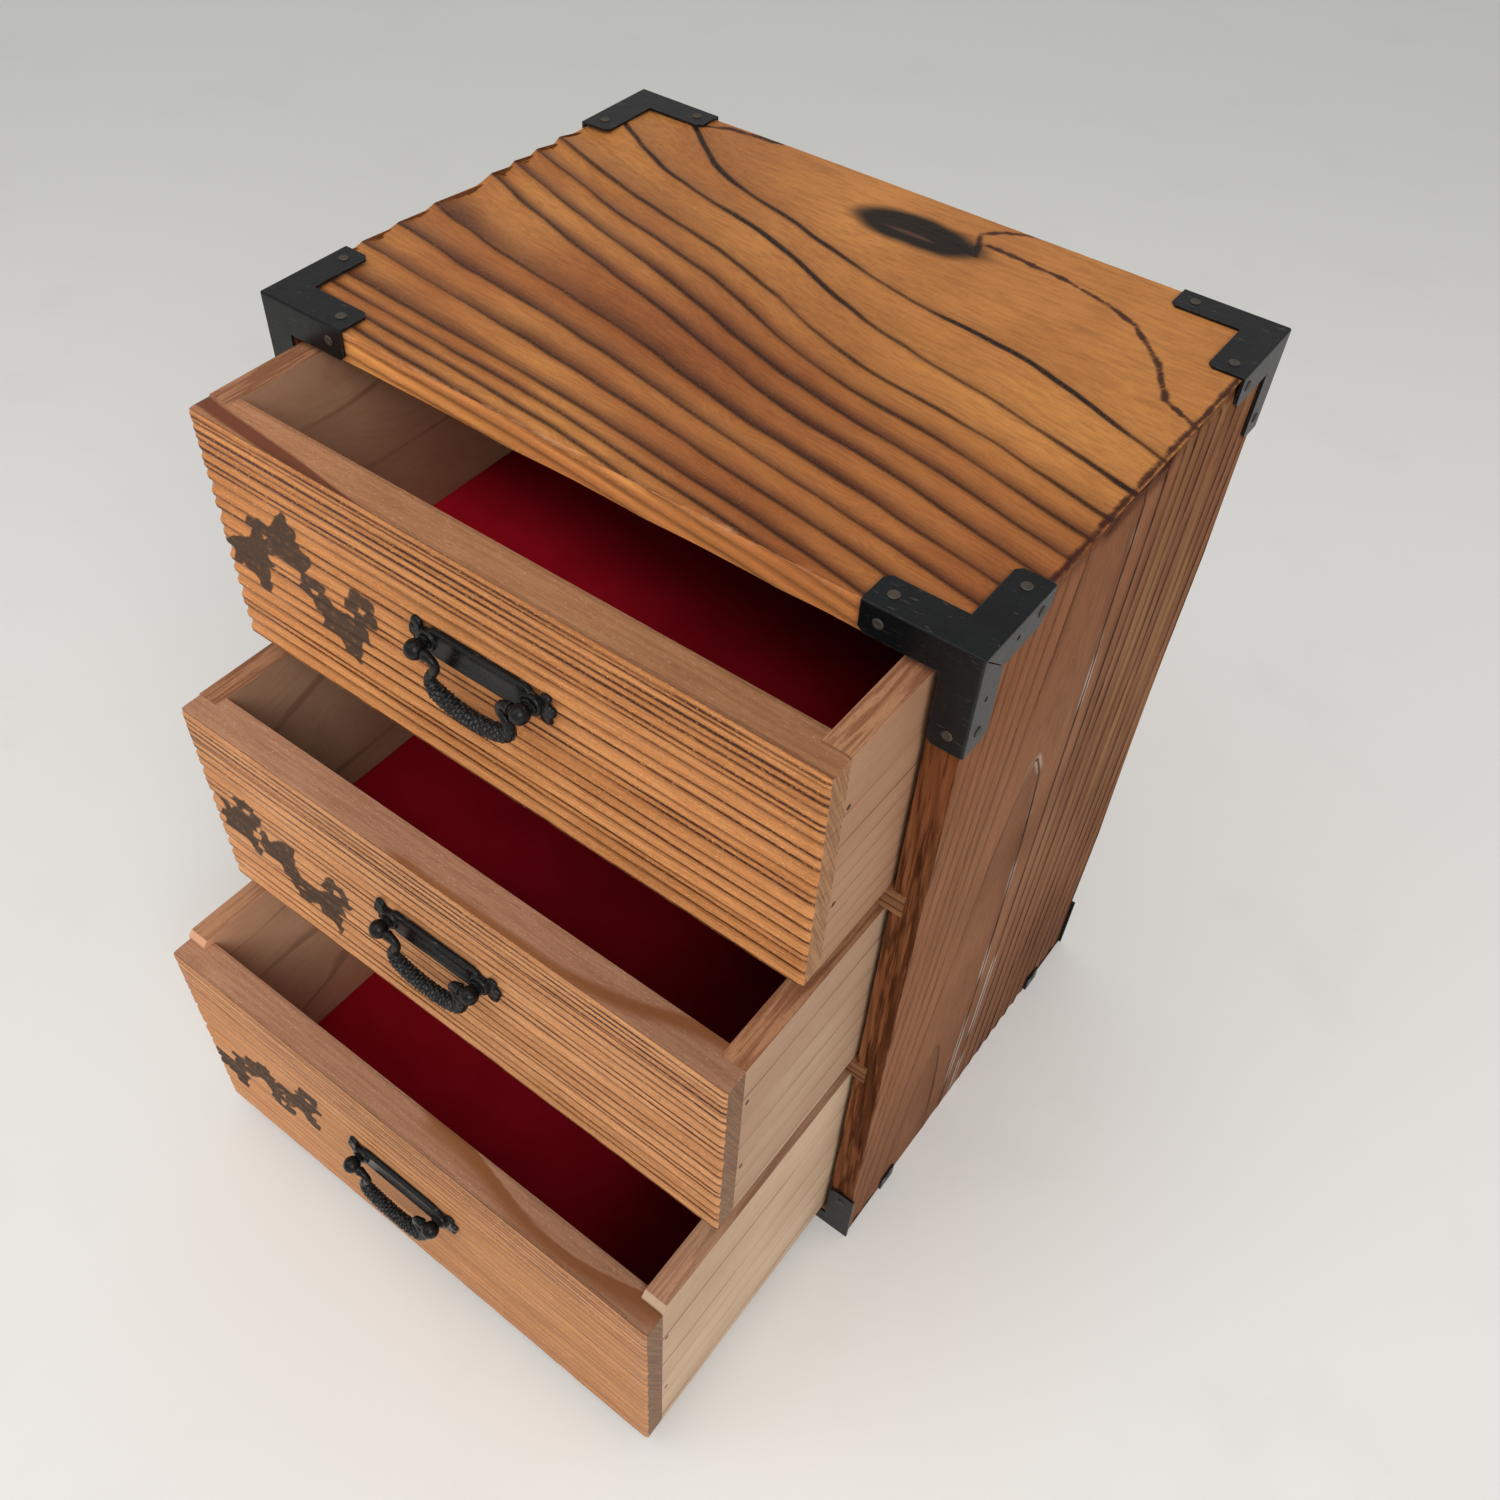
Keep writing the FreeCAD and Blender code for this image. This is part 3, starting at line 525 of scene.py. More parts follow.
def side_board(hand):
    """A side board: brushed arches outside, eroded along the top edge, rabbeted at the back."""
    sign = 1 if hand == "right" else -1
    heart = SIDE_HEART[hand]
    fine = 0.5
    share = steps(0, 1, (1.6) / CASE_TOP)[:, None]
    front = -HALF_DEPTH + 0.25
    y_out = steps(front, HALF_DEPTH, fine)
    x_front = steps(BAY_HALF, HALF_WIDTH, 0.8)
    x = np.concatenate([x_front[:-1], np.full(len(y_out), HALF_WIDTH), [RABBET_HALF, RABBET_HALF, BAY_HALF]])
    y = np.concatenate([np.full(len(x_front) - 1, front), y_out, [HALF_DEPTH, BAY_BACK, BAY_BACK]])
    x, y = x + 0 * share, y + 0 * share
    inward = HALF_WIDTH - x
    outside, before = inward < 0.01, y < front + 0.01
    edge_u = 2 * HALF_WIDTH if sign > 0 else 0.0
    worn = top_depth(edge_u, HALF_DEPTH - y, top_ring(edge_u, HALF_DEPTH - y))
    ceiling = CASE_TOP - inward - worn * (1 - inward / (HALF_WIDTH - BAY_HALF))
    z = 0.1 + share * (ceiling - 0.1)
    u, v = y + HALF_DEPTH, CASE_TOP - z
    ring = side_ring(u, v, heart) - inward / SIDE_RING_DEPTH
    ring = ring - 0.35 * (inward > 0.01) * noise2(inward / 3, v / 45, 46)
    pitch = np.where(outside, pitch_of(lambda a, b: side_ring(a, b, heart), u, v), SIDE_RING_DEPTH)
    brushed = hollow(ring, 0.9)
    depth = (0.16 + 0.30 * smoothstep(75, 95, u) + 0.25 * (1 - smoothstep(8, 30, u))) * brushed
    depth = depth * (1 + 0.4 * noise2(u / 9, v / 60, 41))
    depth = depth + 0.2 * (brushed < 0.25) * smoothstep(0.1, 0.6, noise2(u / 11, v / 40, 42))
    band = 1 - smoothstep(2.8, 6.4, v + 2.0 * noise2(u / 7, v / 3, 43))
    depth = depth + band * (0.35 + 0.35 * noise2(u / 6, v / 0.9, 44))
    corner = np.maximum(0, 1.0 - np.hypot(inward, y - front)) * (0.4 + 0.3 * noise2(u, v / 6, 45))
    marks = {"grain": np.stack([v, ring, u], -1), "pitch": pitch, "band": band,
             "edge": before * smoothstep(0.0, 0.8, inward), "calm": 1 - smoothstep(heart - 30, heart + 4, u)}
    x = sign * (x - outside * (depth + corner))
    points = np.stack([x, y + before * (0.35 * brushed + corner), z], -1)
    faces = loft_faces(*x.shape, hub=-2)
    board = make_object("brushed_side_" + hand, points, faces, wood_side(), marks)
    return place(board, "case", "case_wood", hand + "_side")


def wood_top():
    """The top's wood: a paler front with painted sheen, its front edge face painted bright, a rubbed arris,
    dark veins, and the knot with its slit.
    """
    g, rough, normal = wood("brushed_top_wood", CASE_LOOK)
    here = g.place_mm()
    # Paler and bluer towards the front: painted sheen. Darker from the middle rightwards.
    g.coat(g.attribute("worn"), (1.18, 1.25, 1.30), "MULTIPLY")
    g.coat(g.attribute("deep"), (0.74, 0.65, 0.66), "MULTIPLY")
    # The front edge face is painted much brighter and more golden: painted light on the face that looks to
    # the front.
    golden = g.mix(0.4, g.mix(1.0, g.color, (2.6, 2.7, 2.6), "MULTIPLY"), (0.62, 0.26, 0.085))
    g.coat(g.attribute("front"), golden)
    # The rubbed front arris is painted pale: worn wood, together with a painted highlight along the edge.
    worn = g.ramp(g.noise(here, 0.25, 4.0, 0.7), 0.38, 0.62)
    g.coat(g.mul(g.mul(g.ramp(g.attribute("arris"), 0.06, 0.4), worn), 0.5), (0.64, 0.36, 0.21))
    wiggle = g.mul(g.sub(g.noise(here, 0.2, 3.0, 0.65), 0.5), 2.6)
    g.coat(g.ramp(g.add(g.attribute("vein"), wiggle), 0.2, 1.3, 0.95, 0.0), (0.042, 0.011, 0.008))
    g.coat(g.ramp(g.attribute("knot"), 0.75, 1.2, 0.98, 0.0), (0.007, 0.006, 0.006))
    g.coat(g.ramp(g.attribute("slit"), 0.6, 1.2, 0.6, 0.0), (0.13, 0.055, 0.040))
    return g.finish(rough, normal, **WOOD_SHEEN)


def wood_side():
    """The sides' wood: torn along the top, finely grained in front of the heart, dull gold behind."""
    g, rough, normal = wood("brushed_side_wood", SIDE_LOOK, seed=4.0)
    here = g.split(g.place_mm())
    _, y, z = here
    splinters = g.ramp(g.noise(here, (1, 0.09, 1.7), 3.0, 0.6), 0.42, 0.62)
    g.coat(g.mul(g.attribute("band"), 0.95), g.mix(splinters, (0.045, 0.013, 0.009), (0.16, 0.055, 0.026)))
    fine = g.ramp(g.noise(here, (1, 1.6, 0.02), 3.0, 0.6), 0.35, 0.65)
    g.coat(g.mul(g.attribute("calm"), 0.55), g.mix(fine, (0.345, 0.155, 0.079), (0.235, 0.100, 0.048)))
    golden = g.ramp(g.noise(here, (1, 0.16, 0.012)), 0.48, 0.6)
    golden = g.mul(g.mul(golden, g.ramp(y, -10.0, 30.0)), g.ramp(z, 70.0, 140.0))
    g.coat(g.mul(golden, 0.3), (0.40, 0.225, 0.090))
    g.coat(g.ramp(z, 90.0, 10.0), (0.82, 0.82, 0.84), "MULTIPLY")
    g.coat(g.ramp(z, 190.0, 250.0), (0.90, 0.83, 0.76), "MULTIPLY")
    shards = g.ramp(g.noise(here, (0.4, 0.4, 0.022), 3.0, 0.75), 0.46, 0.58)
    g.coat(g.attribute("edge"), g.mix(shards, (0.82, 0.69, 0.55), (0.36, 0.27, 0.22)), "MULTIPLY")
    return g.finish(rough, normal, **DULL_SHEEN)


# ================ drawer fronts
REED_PITCH = 3.5            # mean spacing of the hard lines
REED_CREST = 0.8            # width of a hard line
REED_HOLLOW = 0.22          # depth of a hollow as a share of its width
REED_UNEVENNESS = 0.32
REED_PHASE = {"top_drawer": 0.4, "middle_drawer": 1.9, "lower_drawer": 3.1}
# The darker heart streak along a front's planed top, as stations: place from the middle,
# distance from the face, and how far the streak reaches towards the face and away from it.
HEART_STREAK = {
    "top_drawer": ((-92, 4.6, 2.4, 2.4), (-57, 1.6, 1.7, 1.7), (-22, -1.4, 1, 1), (0, -3.2, 1, 1)),
    "middle_drawer": ((-8, 0.8, 1.8, 1.8), (45, 1.4, 2.4, 2.6), (55, 2.8, 3, 2.4), (64, 5.2, 3.6, 2),
                      (72, 8.1, 3.6, 2), (82, 10.3, 3.6, 2)),
    "lower_drawer": ((10, 11.4, 7, 0.6), (26, 9.8, 7, 0.6), (40, 6.4, 5.5, 0.6), (55, 3.7, 4, 0.6),
                     (70, 5.0, 5, 0.6), (86, 8.3, 7, 0.6))}


def reed_lines(bottom, top, phase):
    """Heights at which the hard grain lines of a front start: they crowd towards its top."""
    count = round((top - bottom) / REED_PITCH)
    i = np.arange(count)
    widths = 1 + REED_UNEVENNESS * (np.sin(2.3 * i + phase) + 0.6 * np.sin(5.1 * i + 2 * phase))
    widths = widths * (1 - 0.45 * smoothstep(0.5, 0.8, i / count))
    return bottom + np.concatenate([[0], np.cumsum(widths)]) * (top - bottom) / widths.sum()


def reed_section(lines):
    """Heights, depths, ring numbers and ring spacing up a ridged face: crests, and bows between."""
    crest = ((0, 0.25, 0.5, 0.75, 1))
    bow = np.linspace(0, 1, 9)[1:-1]
    rows = []
    for i, (start, end) in enumerate(zip(lines, lines[1:])):
        foot = start + min(REED_CREST, 0.3 * (end - start))
        for t in crest:
            rows.append((start + (foot - start) * t, 0.0, i + 0.2 * (t - 0.5), end - start))
        for t in bow:
            depth = REED_HOLLOW * (end - foot) * 4 * t * (1 - t)
            rows.append((foot + (end - foot) * t, depth, i + 0.1 + 0.8 * t, end - start))
    rows.append((lines[-1], 0.0, len(lines) - 1.1, lines[-1] - lines[-2]))
    return np.array(rows).T


def leaf(x, z, cx, cz, length, width, angle):
    """Signed distance (about) to a pointed leaf that starts at cx, cz and grows at angle."""
    c, s = math.cos(math.radians(angle)), math.sin(math.radians(angle))
    along, across = (x - cx) * c + (z - cz) * s, -(x - cx) * s + (z - cz) * c
    beyond = np.maximum(np.maximum(-along, along - length), 0)
    outside = np.abs(across) - width * np.sin(np.pi * np.clip(along / length, 0, 1) ** 0.7)
    return np.hypot(np.maximum(outside, 0), beyond) + np.minimum(outside, 0) * (beyond == 0)


def painted_sprig(x, z, left, middle, phase):
    """A bramble sprig in dull paint: signed distance in millimetres, negative where painted."""

    def stem_height(at):
        return middle - 5 + 8 * np.sin((at - left) / 13 + phase)

    best = np.abs(z - stem_height(x)) * 0.8 - 0.8 + np.maximum(0, x - left - 52)
    for i in range(3):
        cx = left + 8 + 17.0 * i
        cz = float(stem_height(cx))
        up = 1 if i % 2 else -1
        lean = up * 66 + 14 * math.sin(2 * i + phase)
        for spread, length, width in ((0, 17, 5.0), (52, 12, 3.8), (-52, 12, 3.8)):
            best = np.minimum(best, leaf(x, z, cx, cz, length, width, lean + spread))
        bx, bz = cx + 9, cz - up * 6
        for j in range(5):
            angle = 2 * math.pi * j / 5 + i
            petal = np.hypot(x - bx - 3.6 * math.cos(angle), z - bz - 3.6 * math.sin(angle)) - 2.4
            best = np.minimum(best, petal)
    return best


def drawer_front(name):
    """A ridged front with a lap at each end, its painted sprig and its planed top edge."""
    low, high = node_box(name + "_front")
    side_inner, lap = node_box(name + "_right_side")[0][:2]
    z_face, depth, ring, pitch = reed_section(reed_lines(low[2], high[2], REED_PHASE[name]))
    spacing = 1.2
    x = np.concatenate([steps(low[0], -side_inner - 0.02, spacing), steps(-side_inner, side_inner, spacing),
                        steps(side_inner + 0.02, high[0], spacing)])[:, None]
    back = np.where(np.abs(x) > side_inner + 0.01, lap, high[1])
    across = np.linspace(0, 1, 12)[1:-1]
    wander = 0.07 * noise2(x / 40, z_face / 9, 51) + 0.02 * noise2(x / 8, z_face / 3, 52)
    wander = wander * ((z_face > low[2] + 0.5) & (z_face < high[2] - 0.5))
    cut = depth * (1 + 0.2 * noise2(x / 30, ring * 0.9, 53))
    cut = cut * (1 - 0.5 * smoothstep(high[0] - 14, high[0], x))
    worn = 0.08 * (1 + noise2(x / 5, ring * 3, 54)) * (depth == 0)
    end = np.maximum(0, 1 - (high[0] - np.abs(x)) / 0.8) ** 2
    arris = np.maximum(0, 1 - (high[2] - z_face) / 0.9) ** 2
    face_y = low[1] + cut + worn + 0.45 * end + 0.35 * arris + 0.02 * noise2(x / 1.3, z_face / 0.5, 55)
    face_z = z_face + wander - 0.5 * end * smoothstep(high[2] - 2.5, high[2], z_face)
    rear_z = face_z[:, ::-1].copy()
    face_z[:, -1] -= 0.25
    top_y = face_y[:, -1:] + (back - face_y[:, -1:]) * across
    top_z = high[2] - 0.25 * (1 - np.minimum(across * 8, 1)) - 0.5 * end
    bottom_y = back + (face_y[:, :1] - back) * across
    y = np.concatenate([face_y, top_y, back + 0 * face_y, bottom_y], 1)
    z = np.concatenate([face_z, top_z, rear_z, low[2] + 0 * bottom_y], 1)
    x = x + 0 * y
    flat = np.ones(len(across))
    rings = np.concatenate([ring, ring[-1] * flat, ring[::-1], 0 * flat]) + 0.8 * (y - low[1]) / REED_PITCH
    pitches = np.concatenate([pitch, 3 * flat, pitch[::-1], 3 * flat]) + 0 * y
    planed = np.concatenate([0 * ring, flat, 0 * ring + 1, flat]) + 0 * y
    planed[:, len(ring) - 1] = 0.5
    paint = painted_sprig(x, z, low[0], (low[2] + high[2]) / 2, 2.1 * DRAWERS.index(name))
    stations, heart, towards, away = np.array(HEART_STREAK[name]).T
    inner = np.clip(x, stations[0], stations[-1])
    streak = y - low[1] - through(inner, stations, heart) + 0.5 * noise2(x / 14, y / 6, 56)
    reach = np.where(streak < 0, np.interp(x, stations, towards), np.interp(x, stations, away))
    streak = np.abs(streak) / reach + 0.1 * np.maximum(stations[0] - x, 0)
    marks = {"grain": np.stack([x, rings, y + z], -1), "pitch": pitches, "planed": planed,
             "paint": paint + 30 * (planed > 0.3), "streak": streak}
    stations, count = x.shape
    faces = loft_faces(stations, count, caps=False)
    for first, order in ((0, 1), ((stations - 1) * count, -1)):
        for rung in end_rungs(len(ring), len(across), count):
            faces.append([first + i for i in rung[::order]])
    front = make_object(name + "_ridged_front", np.stack([x, y, z], -1), faces, FRONT_WOOD, marks)
    return place(front, name, "front_wood", name + "_front")


def end_rungs(rows, extra, count):
    """Faces that close a front's end: one strip for each step up its profile, and two caps."""
    rear = rows + extra + rows - 1          # the rear point level with the lowest front point
    rungs = [[i, i + 1, rear - i - 1, rear - i] for i in range(1, rows - 2)]
    top = [rows - 2] + list(range(rows - 1, rows + extra + 1)) + [rear - (rows - 2)]
    bottom = [1, rear - 1] + list(range(rear, count)) + [0]
    return rungs + [top, bottom]


def wood_front():
    """A front's wood: ridged face with its paint, smoother low down, planed top and sawn ends."""
    g, rough, normal = wood("ridged_front_wood", FRONT_LOOK, seed=7.0)
    along, ring, across = g.split(g.attribute("grain", "Vector"))
    x, y, z = g.split(g.place_mm())
    lower = g.ramp(z, 184.0, 176.0)
    tone = g.ramp(g.noise((along, across, 8.0), (0.05, 0.9, 1), 4.0, 0.65), 0.3, 0.7)
    specks = g.noise((along, across, ring), (0.7, 3.5, 0.2), 2.0, 0.7)
    streak = g.ramp(g.attribute("streak"), g.ramp(z, 176.0, 184.0, 0.25, 0.6), 1.15, 0.95, 0.0)
    plain = g.mix(tone, (0.37, 0.175, 0.085), (0.28, 0.120, 0.056))
    plain = g.mix(g.ramp(specks, 0.60, 0.70, 0.0, 0.45), plain, (0.60, 0.38, 0.24))
    plain = g.mix(g.ramp(specks, 0.42, 0.30, 0.0, 0.4), plain, (0.16, 0.066, 0.032))
    plain = g.mix(streak, plain, g.mix(lower, (0.120, 0.034, 0.017), (0.21, 0.070, 0.022)))
    smoothed = g.mix(tone, (0.58, 0.245, 0.092), (0.44, 0.176, 0.064))
    g.coat(g.ramp(z, 93.0, 90.0, 0.0, g.ramp(z, 88.0, 60.0, 0.15, 0.45)), smoothed)
    g.coat(g.ramp(g.attribute("planed"), 0.3, 0.7), g.scaled(plain, g.ramp(x, 5.0, 85.0, 1.14, 0.9)))
    g.coat(lower, (1.04, 1.16, 1.42), "MULTIPLY")
    g.color = g.scaled(g.color, g.ramp(x, -92.0, -10.0, 1.2, 1.0))
    sawn = g.noise((x, g.add(g.mul(y, 1.7), g.mul(z, 0.7)), z), (1, 1, 0.05), 2.0, 0.6)
    sawn = g.mix(g.ramp(sawn, 0.38, 0.62), (0.43, 0.215, 0.090), (0.27, 0.118, 0.047))
    at_end = g.ramp(g.math("ABSOLUTE", g.facing()[0]), 0.75, 0.9)
    # Lower down the sawn ends are painted darker: painted shade.
    g.coat(at_end, g.mix(lower, sawn, (0.58, 0.54, 0.50), "MULTIPLY"))
    ragged = g.mul(g.sub(g.noise((along, ring, 2.0), (0.5, 1.4, 1), 3.0, 0.7), 0.5), 1.6)
    worn = g.ramp(g.noise((along, ring, 5.0), (0.35, 2.2, 1), 3.0, 0.7), 0.28, 0.5, 0.7, 0.96)
    paint = g.mul(g.ramp(g.add(g.attribute("paint"), ragged), -0.25, 0.35, 1.0, 0.0), worn)
    g.coat(paint, (0.070, 0.047, 0.036))
    return g.finish(g.add(rough, g.mul(paint, 0.2)), normal, **WOOD_SHEEN)


# ================ planed boards kept from the frame
# Brightness (the timber's tone, with painted light making the lower drawers brighter), greyness, brownness of
# the upper edges and the left side's share of brightness (painted light and shade on the inner left faces);
# then how many lines the right side has and how they crowd downwards.
TONES = {"top_drawer": (1.0, 0.0, 1.0, 1.05, 9, 1.8),
         "middle_drawer": (1.3, 0.32, 1.0, 0.85, 6, 1.2),
         "lower_drawer": (1.85, 0.5, 0.75, 1.15, 5, 1.3)}


def finish_node(node, material, bevel=0.25):
    """Gives a CAD node its material and softly broken edges."""
    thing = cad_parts[node]
    thing.data.materials.clear()
    thing.data.materials.append(material)
    if bevel:
        edges = thing.modifiers.new("broken_edges", "BEVEL")
        edges.width = bevel * MM
        edges.segments = 2
        edges.limit_method = "ANGLE"
        edges.angle_limit = math.radians(40)
        edges.harden_normals = True
    return thing


def planed(name, look, grain, seed, edge=1.0):
    """Planed timber; the narrow edges that face up are browner, with open streaks along them."""
    g, rough, normal = wood(name, look, grain, seed)
    here = g.split(g.place_mm())
    streak = g.ramp(g.noise(here, (0.9, 0.05, 0.02)), 0.40, 0.58)
    speck = g.ramp(g.noise(here, (2.2, 0.7, 1), 3.0, 0.7), 0.5, 0.7)
    handled = g.mix(streak, (0.42, 0.205, 0.108), (0.26, 0.108, 0.054))
    handled = g.mix(g.mul(speck, 0.35), handled, (0.11, 0.036, 0.018))
    g.coat(g.mul(g.ramp(g.facing()[2], 0.8, 0.95), edge), handled)
    return g.finish(rough, normal, **WOOD_SHEEN)


def planed_boards():
    """Materials for the shelves, the back, and the drawers' sides, backs and bottom panels."""
    shelf_wood = planed("shelf_wood", SHELF_LOOK, (0, 2, 3.4, 0.25, 1.2, None), 3.0)
    for node in ("upper_divider", "lower_divider", "bottom_board"):
        finish_node(node, shelf_wood)
    back_look = planed_look(0.8, 0.0, 9.0)
    finish_node("back_panel", planed("back_wood", back_look, (2, 0, 9.0, 0.2, 2.5, None), 6.0))
    for number, name in enumerate(DRAWERS):
        brightness, greyness, edge, left_share, *crowding = TONES[name]
        low, high = node_box(name + "_right_side")
        # Painted light and shade: the left side's share paints the inner left face brighter in the top and
        # lower drawers and darker in the middle one.
        left = planed_look(brightness * left_share, 0.25 * greyness, 12.0)
        left.line_strength, left.line_width = 0.4, 0.6
        plain = planed_look(brightness, greyness, 12.0)
        crowd = (low[2], high[2], *crowding)
        for part, look, grain, seed, rubbed in (("left", left, (1, 2, 26.0, 0.3, 4.5, None), 11.0, edge),
                                                ("right", plain, (1, 2, 12.0, 0.3, 0.7, crowd), 11.0, edge),
                                                ("back", plain, (0, 2, 12.0, 0.3, 2.0, None), 21.0, 1.0)):
            node = f"{name}_back" if part == "back" else f"{name}_{part}_side"
            timber = planed(f"{name}_{part}_wood", look, grain, seed + number, rubbed)
            finish_node(node, timber)
        finish_node(name + "_bottom_panel", PANEL_WOOD)


# ================ felt
# Painted light and shade on each felt: how bright it is painted at its left end, in its middle and at its
# right end.
FELT_PAINTED_LIGHT = {"top_drawer": (2.1, 0.95, 0.95), "middle_drawer": (1.2, 0.65, 0.3), "lower_drawer": (1.4, 1.1, 0.3)}


def felt(name):
    """A felt lining laid on the bottom panel: soft, a little uneven, with rounded cut edges."""
    low, high = node_box(name + "_felt")
    fine = 1.5
    x, y = steps(low[0], high[0], fine), steps(low[1], high[1], fine)
    gx, gy = np.meshgrid(x, y, indexing="ij")
    border = np.minimum(np.minimum(gx - low[0], high[0] - gx), np.minimum(gy - low[1], high[1] - gy))
    uneven = 0.86 + 0.05 * noise2(gx / 14, gy / 14, 61) + 0.04 * noise2(gx / 3, gy / 3, 62)
    upper = low[2] + (high[2] - low[2]) * uneven - 0.35 * np.exp(-border / 0.9)
    points = np.stack([np.stack([gx, gy, z], -1) for z in (upper, low[2] + 0 * gx)])
    below = gx.size
    index = np.arange(below).reshape(gx.shape)
    quads = np.stack([index[:-1, :-1], index[1:, :-1], index[1:, 1:], index[:-1, 1:]], -1).reshape(-1, 4)
    rim = np.concatenate([index[0, :-1], index[:-1, -1], index[-1, :0:-1], index[:0:-1, 0]])
    following = np.roll(rim, -1)
    hem = np.stack([rim, following, following + below, rim + below], -1)
    faces = np.concatenate([quads, quads[:, ::-1] + below, hem]).tolist()
    sheet = make_object(name + "_felt_lining", points, faces, felt_material(name, *FELT_PAINTED_LIGHT[name]))
    return place(sheet, name, "red_felt", name + "_felt")


def felt_material(name, left, middle, right):
    """Crimson felt with painted light and shade: its colour is scaled towards its left end, its middle and
    its right end, and a painted shadow darkens it towards the back, under the case.
    """
    g = Graph(name + "_red_felt")
    here = g.place_mm()
    x, y, _ = g.split(here)
    fluff = g.noise(here, 2.2, 4.0, 0.75)
    fibre = g.noise(here, 7.0, 3.0, 0.8)
    patch = g.ramp(g.noise(here, 0.05, 3.0), 0.3, 0.7)
    g.color = g.mix(patch, (0.36, 0.006, 0.017), (0.30, 0.004, 0.013))
    g.coat(g.mul(g.ramp(fluff, 0.4, 0.75), 0.4), (0.44, 0.009, 0.024))
    g.coat(g.mul(g.ramp(fibre, 0.55, 0.8), 0.35), (0.14, 0.003, 0.009))
    # Painted light and shade: brighter to the left, darker to the right, and a painted shadow towards the
    # back under the case.
    painted_light = g.mul(g.ramp(x, -80.0, 25.0, left, middle), g.ramp(x, 22.0, 64.0, 1.0, right / middle))
    g.color = g.scaled(g.color, g.mul(painted_light, g.ramp(y, -12.0, -45.0, 0.3, 1.0)))
    height = g.add(g.mul(fluff, 0.6), g.mul(fibre, 0.4))
    return g.finish(0.95, g.bump(height, 0.6, 0.25), Specular_IOR_Level=0.05)


# ================ iron
def iron_material(name, base, scuff_and_glint, rough):
    """Sheet or cast iron: uneven finish, fine scuffs, bare metal on edges, and on crests bare metal with
    painted glints.
    """
    g = Graph(name)
    here = g.place_mm()
    cloud = g.noise(here, 0.12, 4.0, 0.6)
    grit = g.noise(here, 2.4, 4.0, 0.7)
    scratch = g.noise(g.split(here), (0.25, 0.9, 3.0), 3.0, 0.6)
    g.color = g.mix(g.ramp(cloud, 0.3, 0.7), base, tuple(1.6 * c for c in base))
    g.coat(g.mul(g.ramp(grit, 0.58, 0.75), 0.35), scuff_and_glint)
    g.coat(g.mul(g.ramp(scratch, 0.62, 0.72), 0.4), scuff_and_glint)
    # Crests are painted bright: bare worn metal, together with painted glints.
    g.coat(g.mul(g.attribute("crest"), 0.5), scuff_and_glint)
    rounded, plain = g.node("Bevel", 0.35 * MM).outputs[0], g.node("NewGeometry").outputs["Normal"]
    agree = g.node("VectorMath", rounded, plain, operation="DOT_PRODUCT").outputs["Value"]
    bare = g.mul(g.ramp(agree, 0.97, 0.80), g.ramp(g.noise(here, 0.5, 3.0, 0.7), 0.35, 0.6))
    g.coat(g.mul(bare, 0.7), scuff_and_glint)
    height = g.add(g.mul(cloud, 1.5), g.mul(grit, 0.25))
    roughness = g.add(rough, g.mul(g.sub(grit, 0.5), 0.35))
    return g.finish(roughness, g.bump(height, 0.35, 0.35), Specular_IOR_Level=0.22)


# A nail head's profile: shares of its radius and of its height.
NAIL_PROFILE = ((0.97, 0), (1, 0.45), (0.88, 0.85), (0.66, 1), (0.38, 0.80), (0.10, 0.60))


def islands(node):
    """Low and high corners in millimetres of each separate solid in a CAD node."""
    mesh = bmesh.new()
    mesh.from_mesh(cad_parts[node].data)
    bmesh.ops.remove_doubles(mesh, verts=mesh.verts, dist=1e-6)
    seen, boxes = set(), []
    for start in mesh.verts:
        if start in seen:
            continue
        group, fresh = set(), {start}
        while fresh:
            group |= fresh
            fresh = {edge.other_vert(vert) for vert in fresh for edge in vert.link_edges} - group
        seen |= group
        spots = np.array([vert.co[:] for vert in group]) / MM
        boxes.append((spots.min(0), spots.max(0)))
    mesh.free()
    return boxes


def nail_heads(node):
    """Hammered heads with a shallow dimple, on the places of the CAD heads."""
    points, faces = [], []
    turn = np.linspace(0, 2 * np.pi, 20, endpoint=False)
    circle = np.stack([np.cos(turn), np.sin(turn)], 1)
    for low, high in islands(node):
        thin = int(np.argmin(high - low))
        flat = [axis for axis in range(3) if axis != thin]
        radius = (high - low).max() / 2
        seat = (low + high) / 2
        outward = seat[thin] > (CASE_TOP / 2 if thin == 2 else 0)
        faces += loft_faces(len(NAIL_PROFILE), len(turn), len(points) * len(turn))
        for share, rise in NAIL_PROFILE:
            ring = np.repeat(seat[None], len(turn), 0)
            ring[:, flat] += radius * share * circle
            ring[:, thin] = low[thin] + (high - low)[thin] * (rise if outward else 1 - rise)
            points.append(ring)
    heads = make_object(node[:-1] + "_heads", np.array(points), faces, NAIL, sharp=50)
    return place(heads, "case", "black_iron", node)


def irons():
    """The case's irons with their nail heads, and the drawers' rusty nails."""
    for part in ("corner", "foot"):
        for end in ("front", "back"):
            for hand in ("left", "right"):
                finish_node(f"{part}_iron_{end}_{hand}", SHEET_IRON, 0.12)
    for part in ("corner", "foot", "back"):
        nail_heads(part + "_nails")
    for name in DRAWERS:
        finish_node(name + "_nails", RUSTY_IRON, 0)


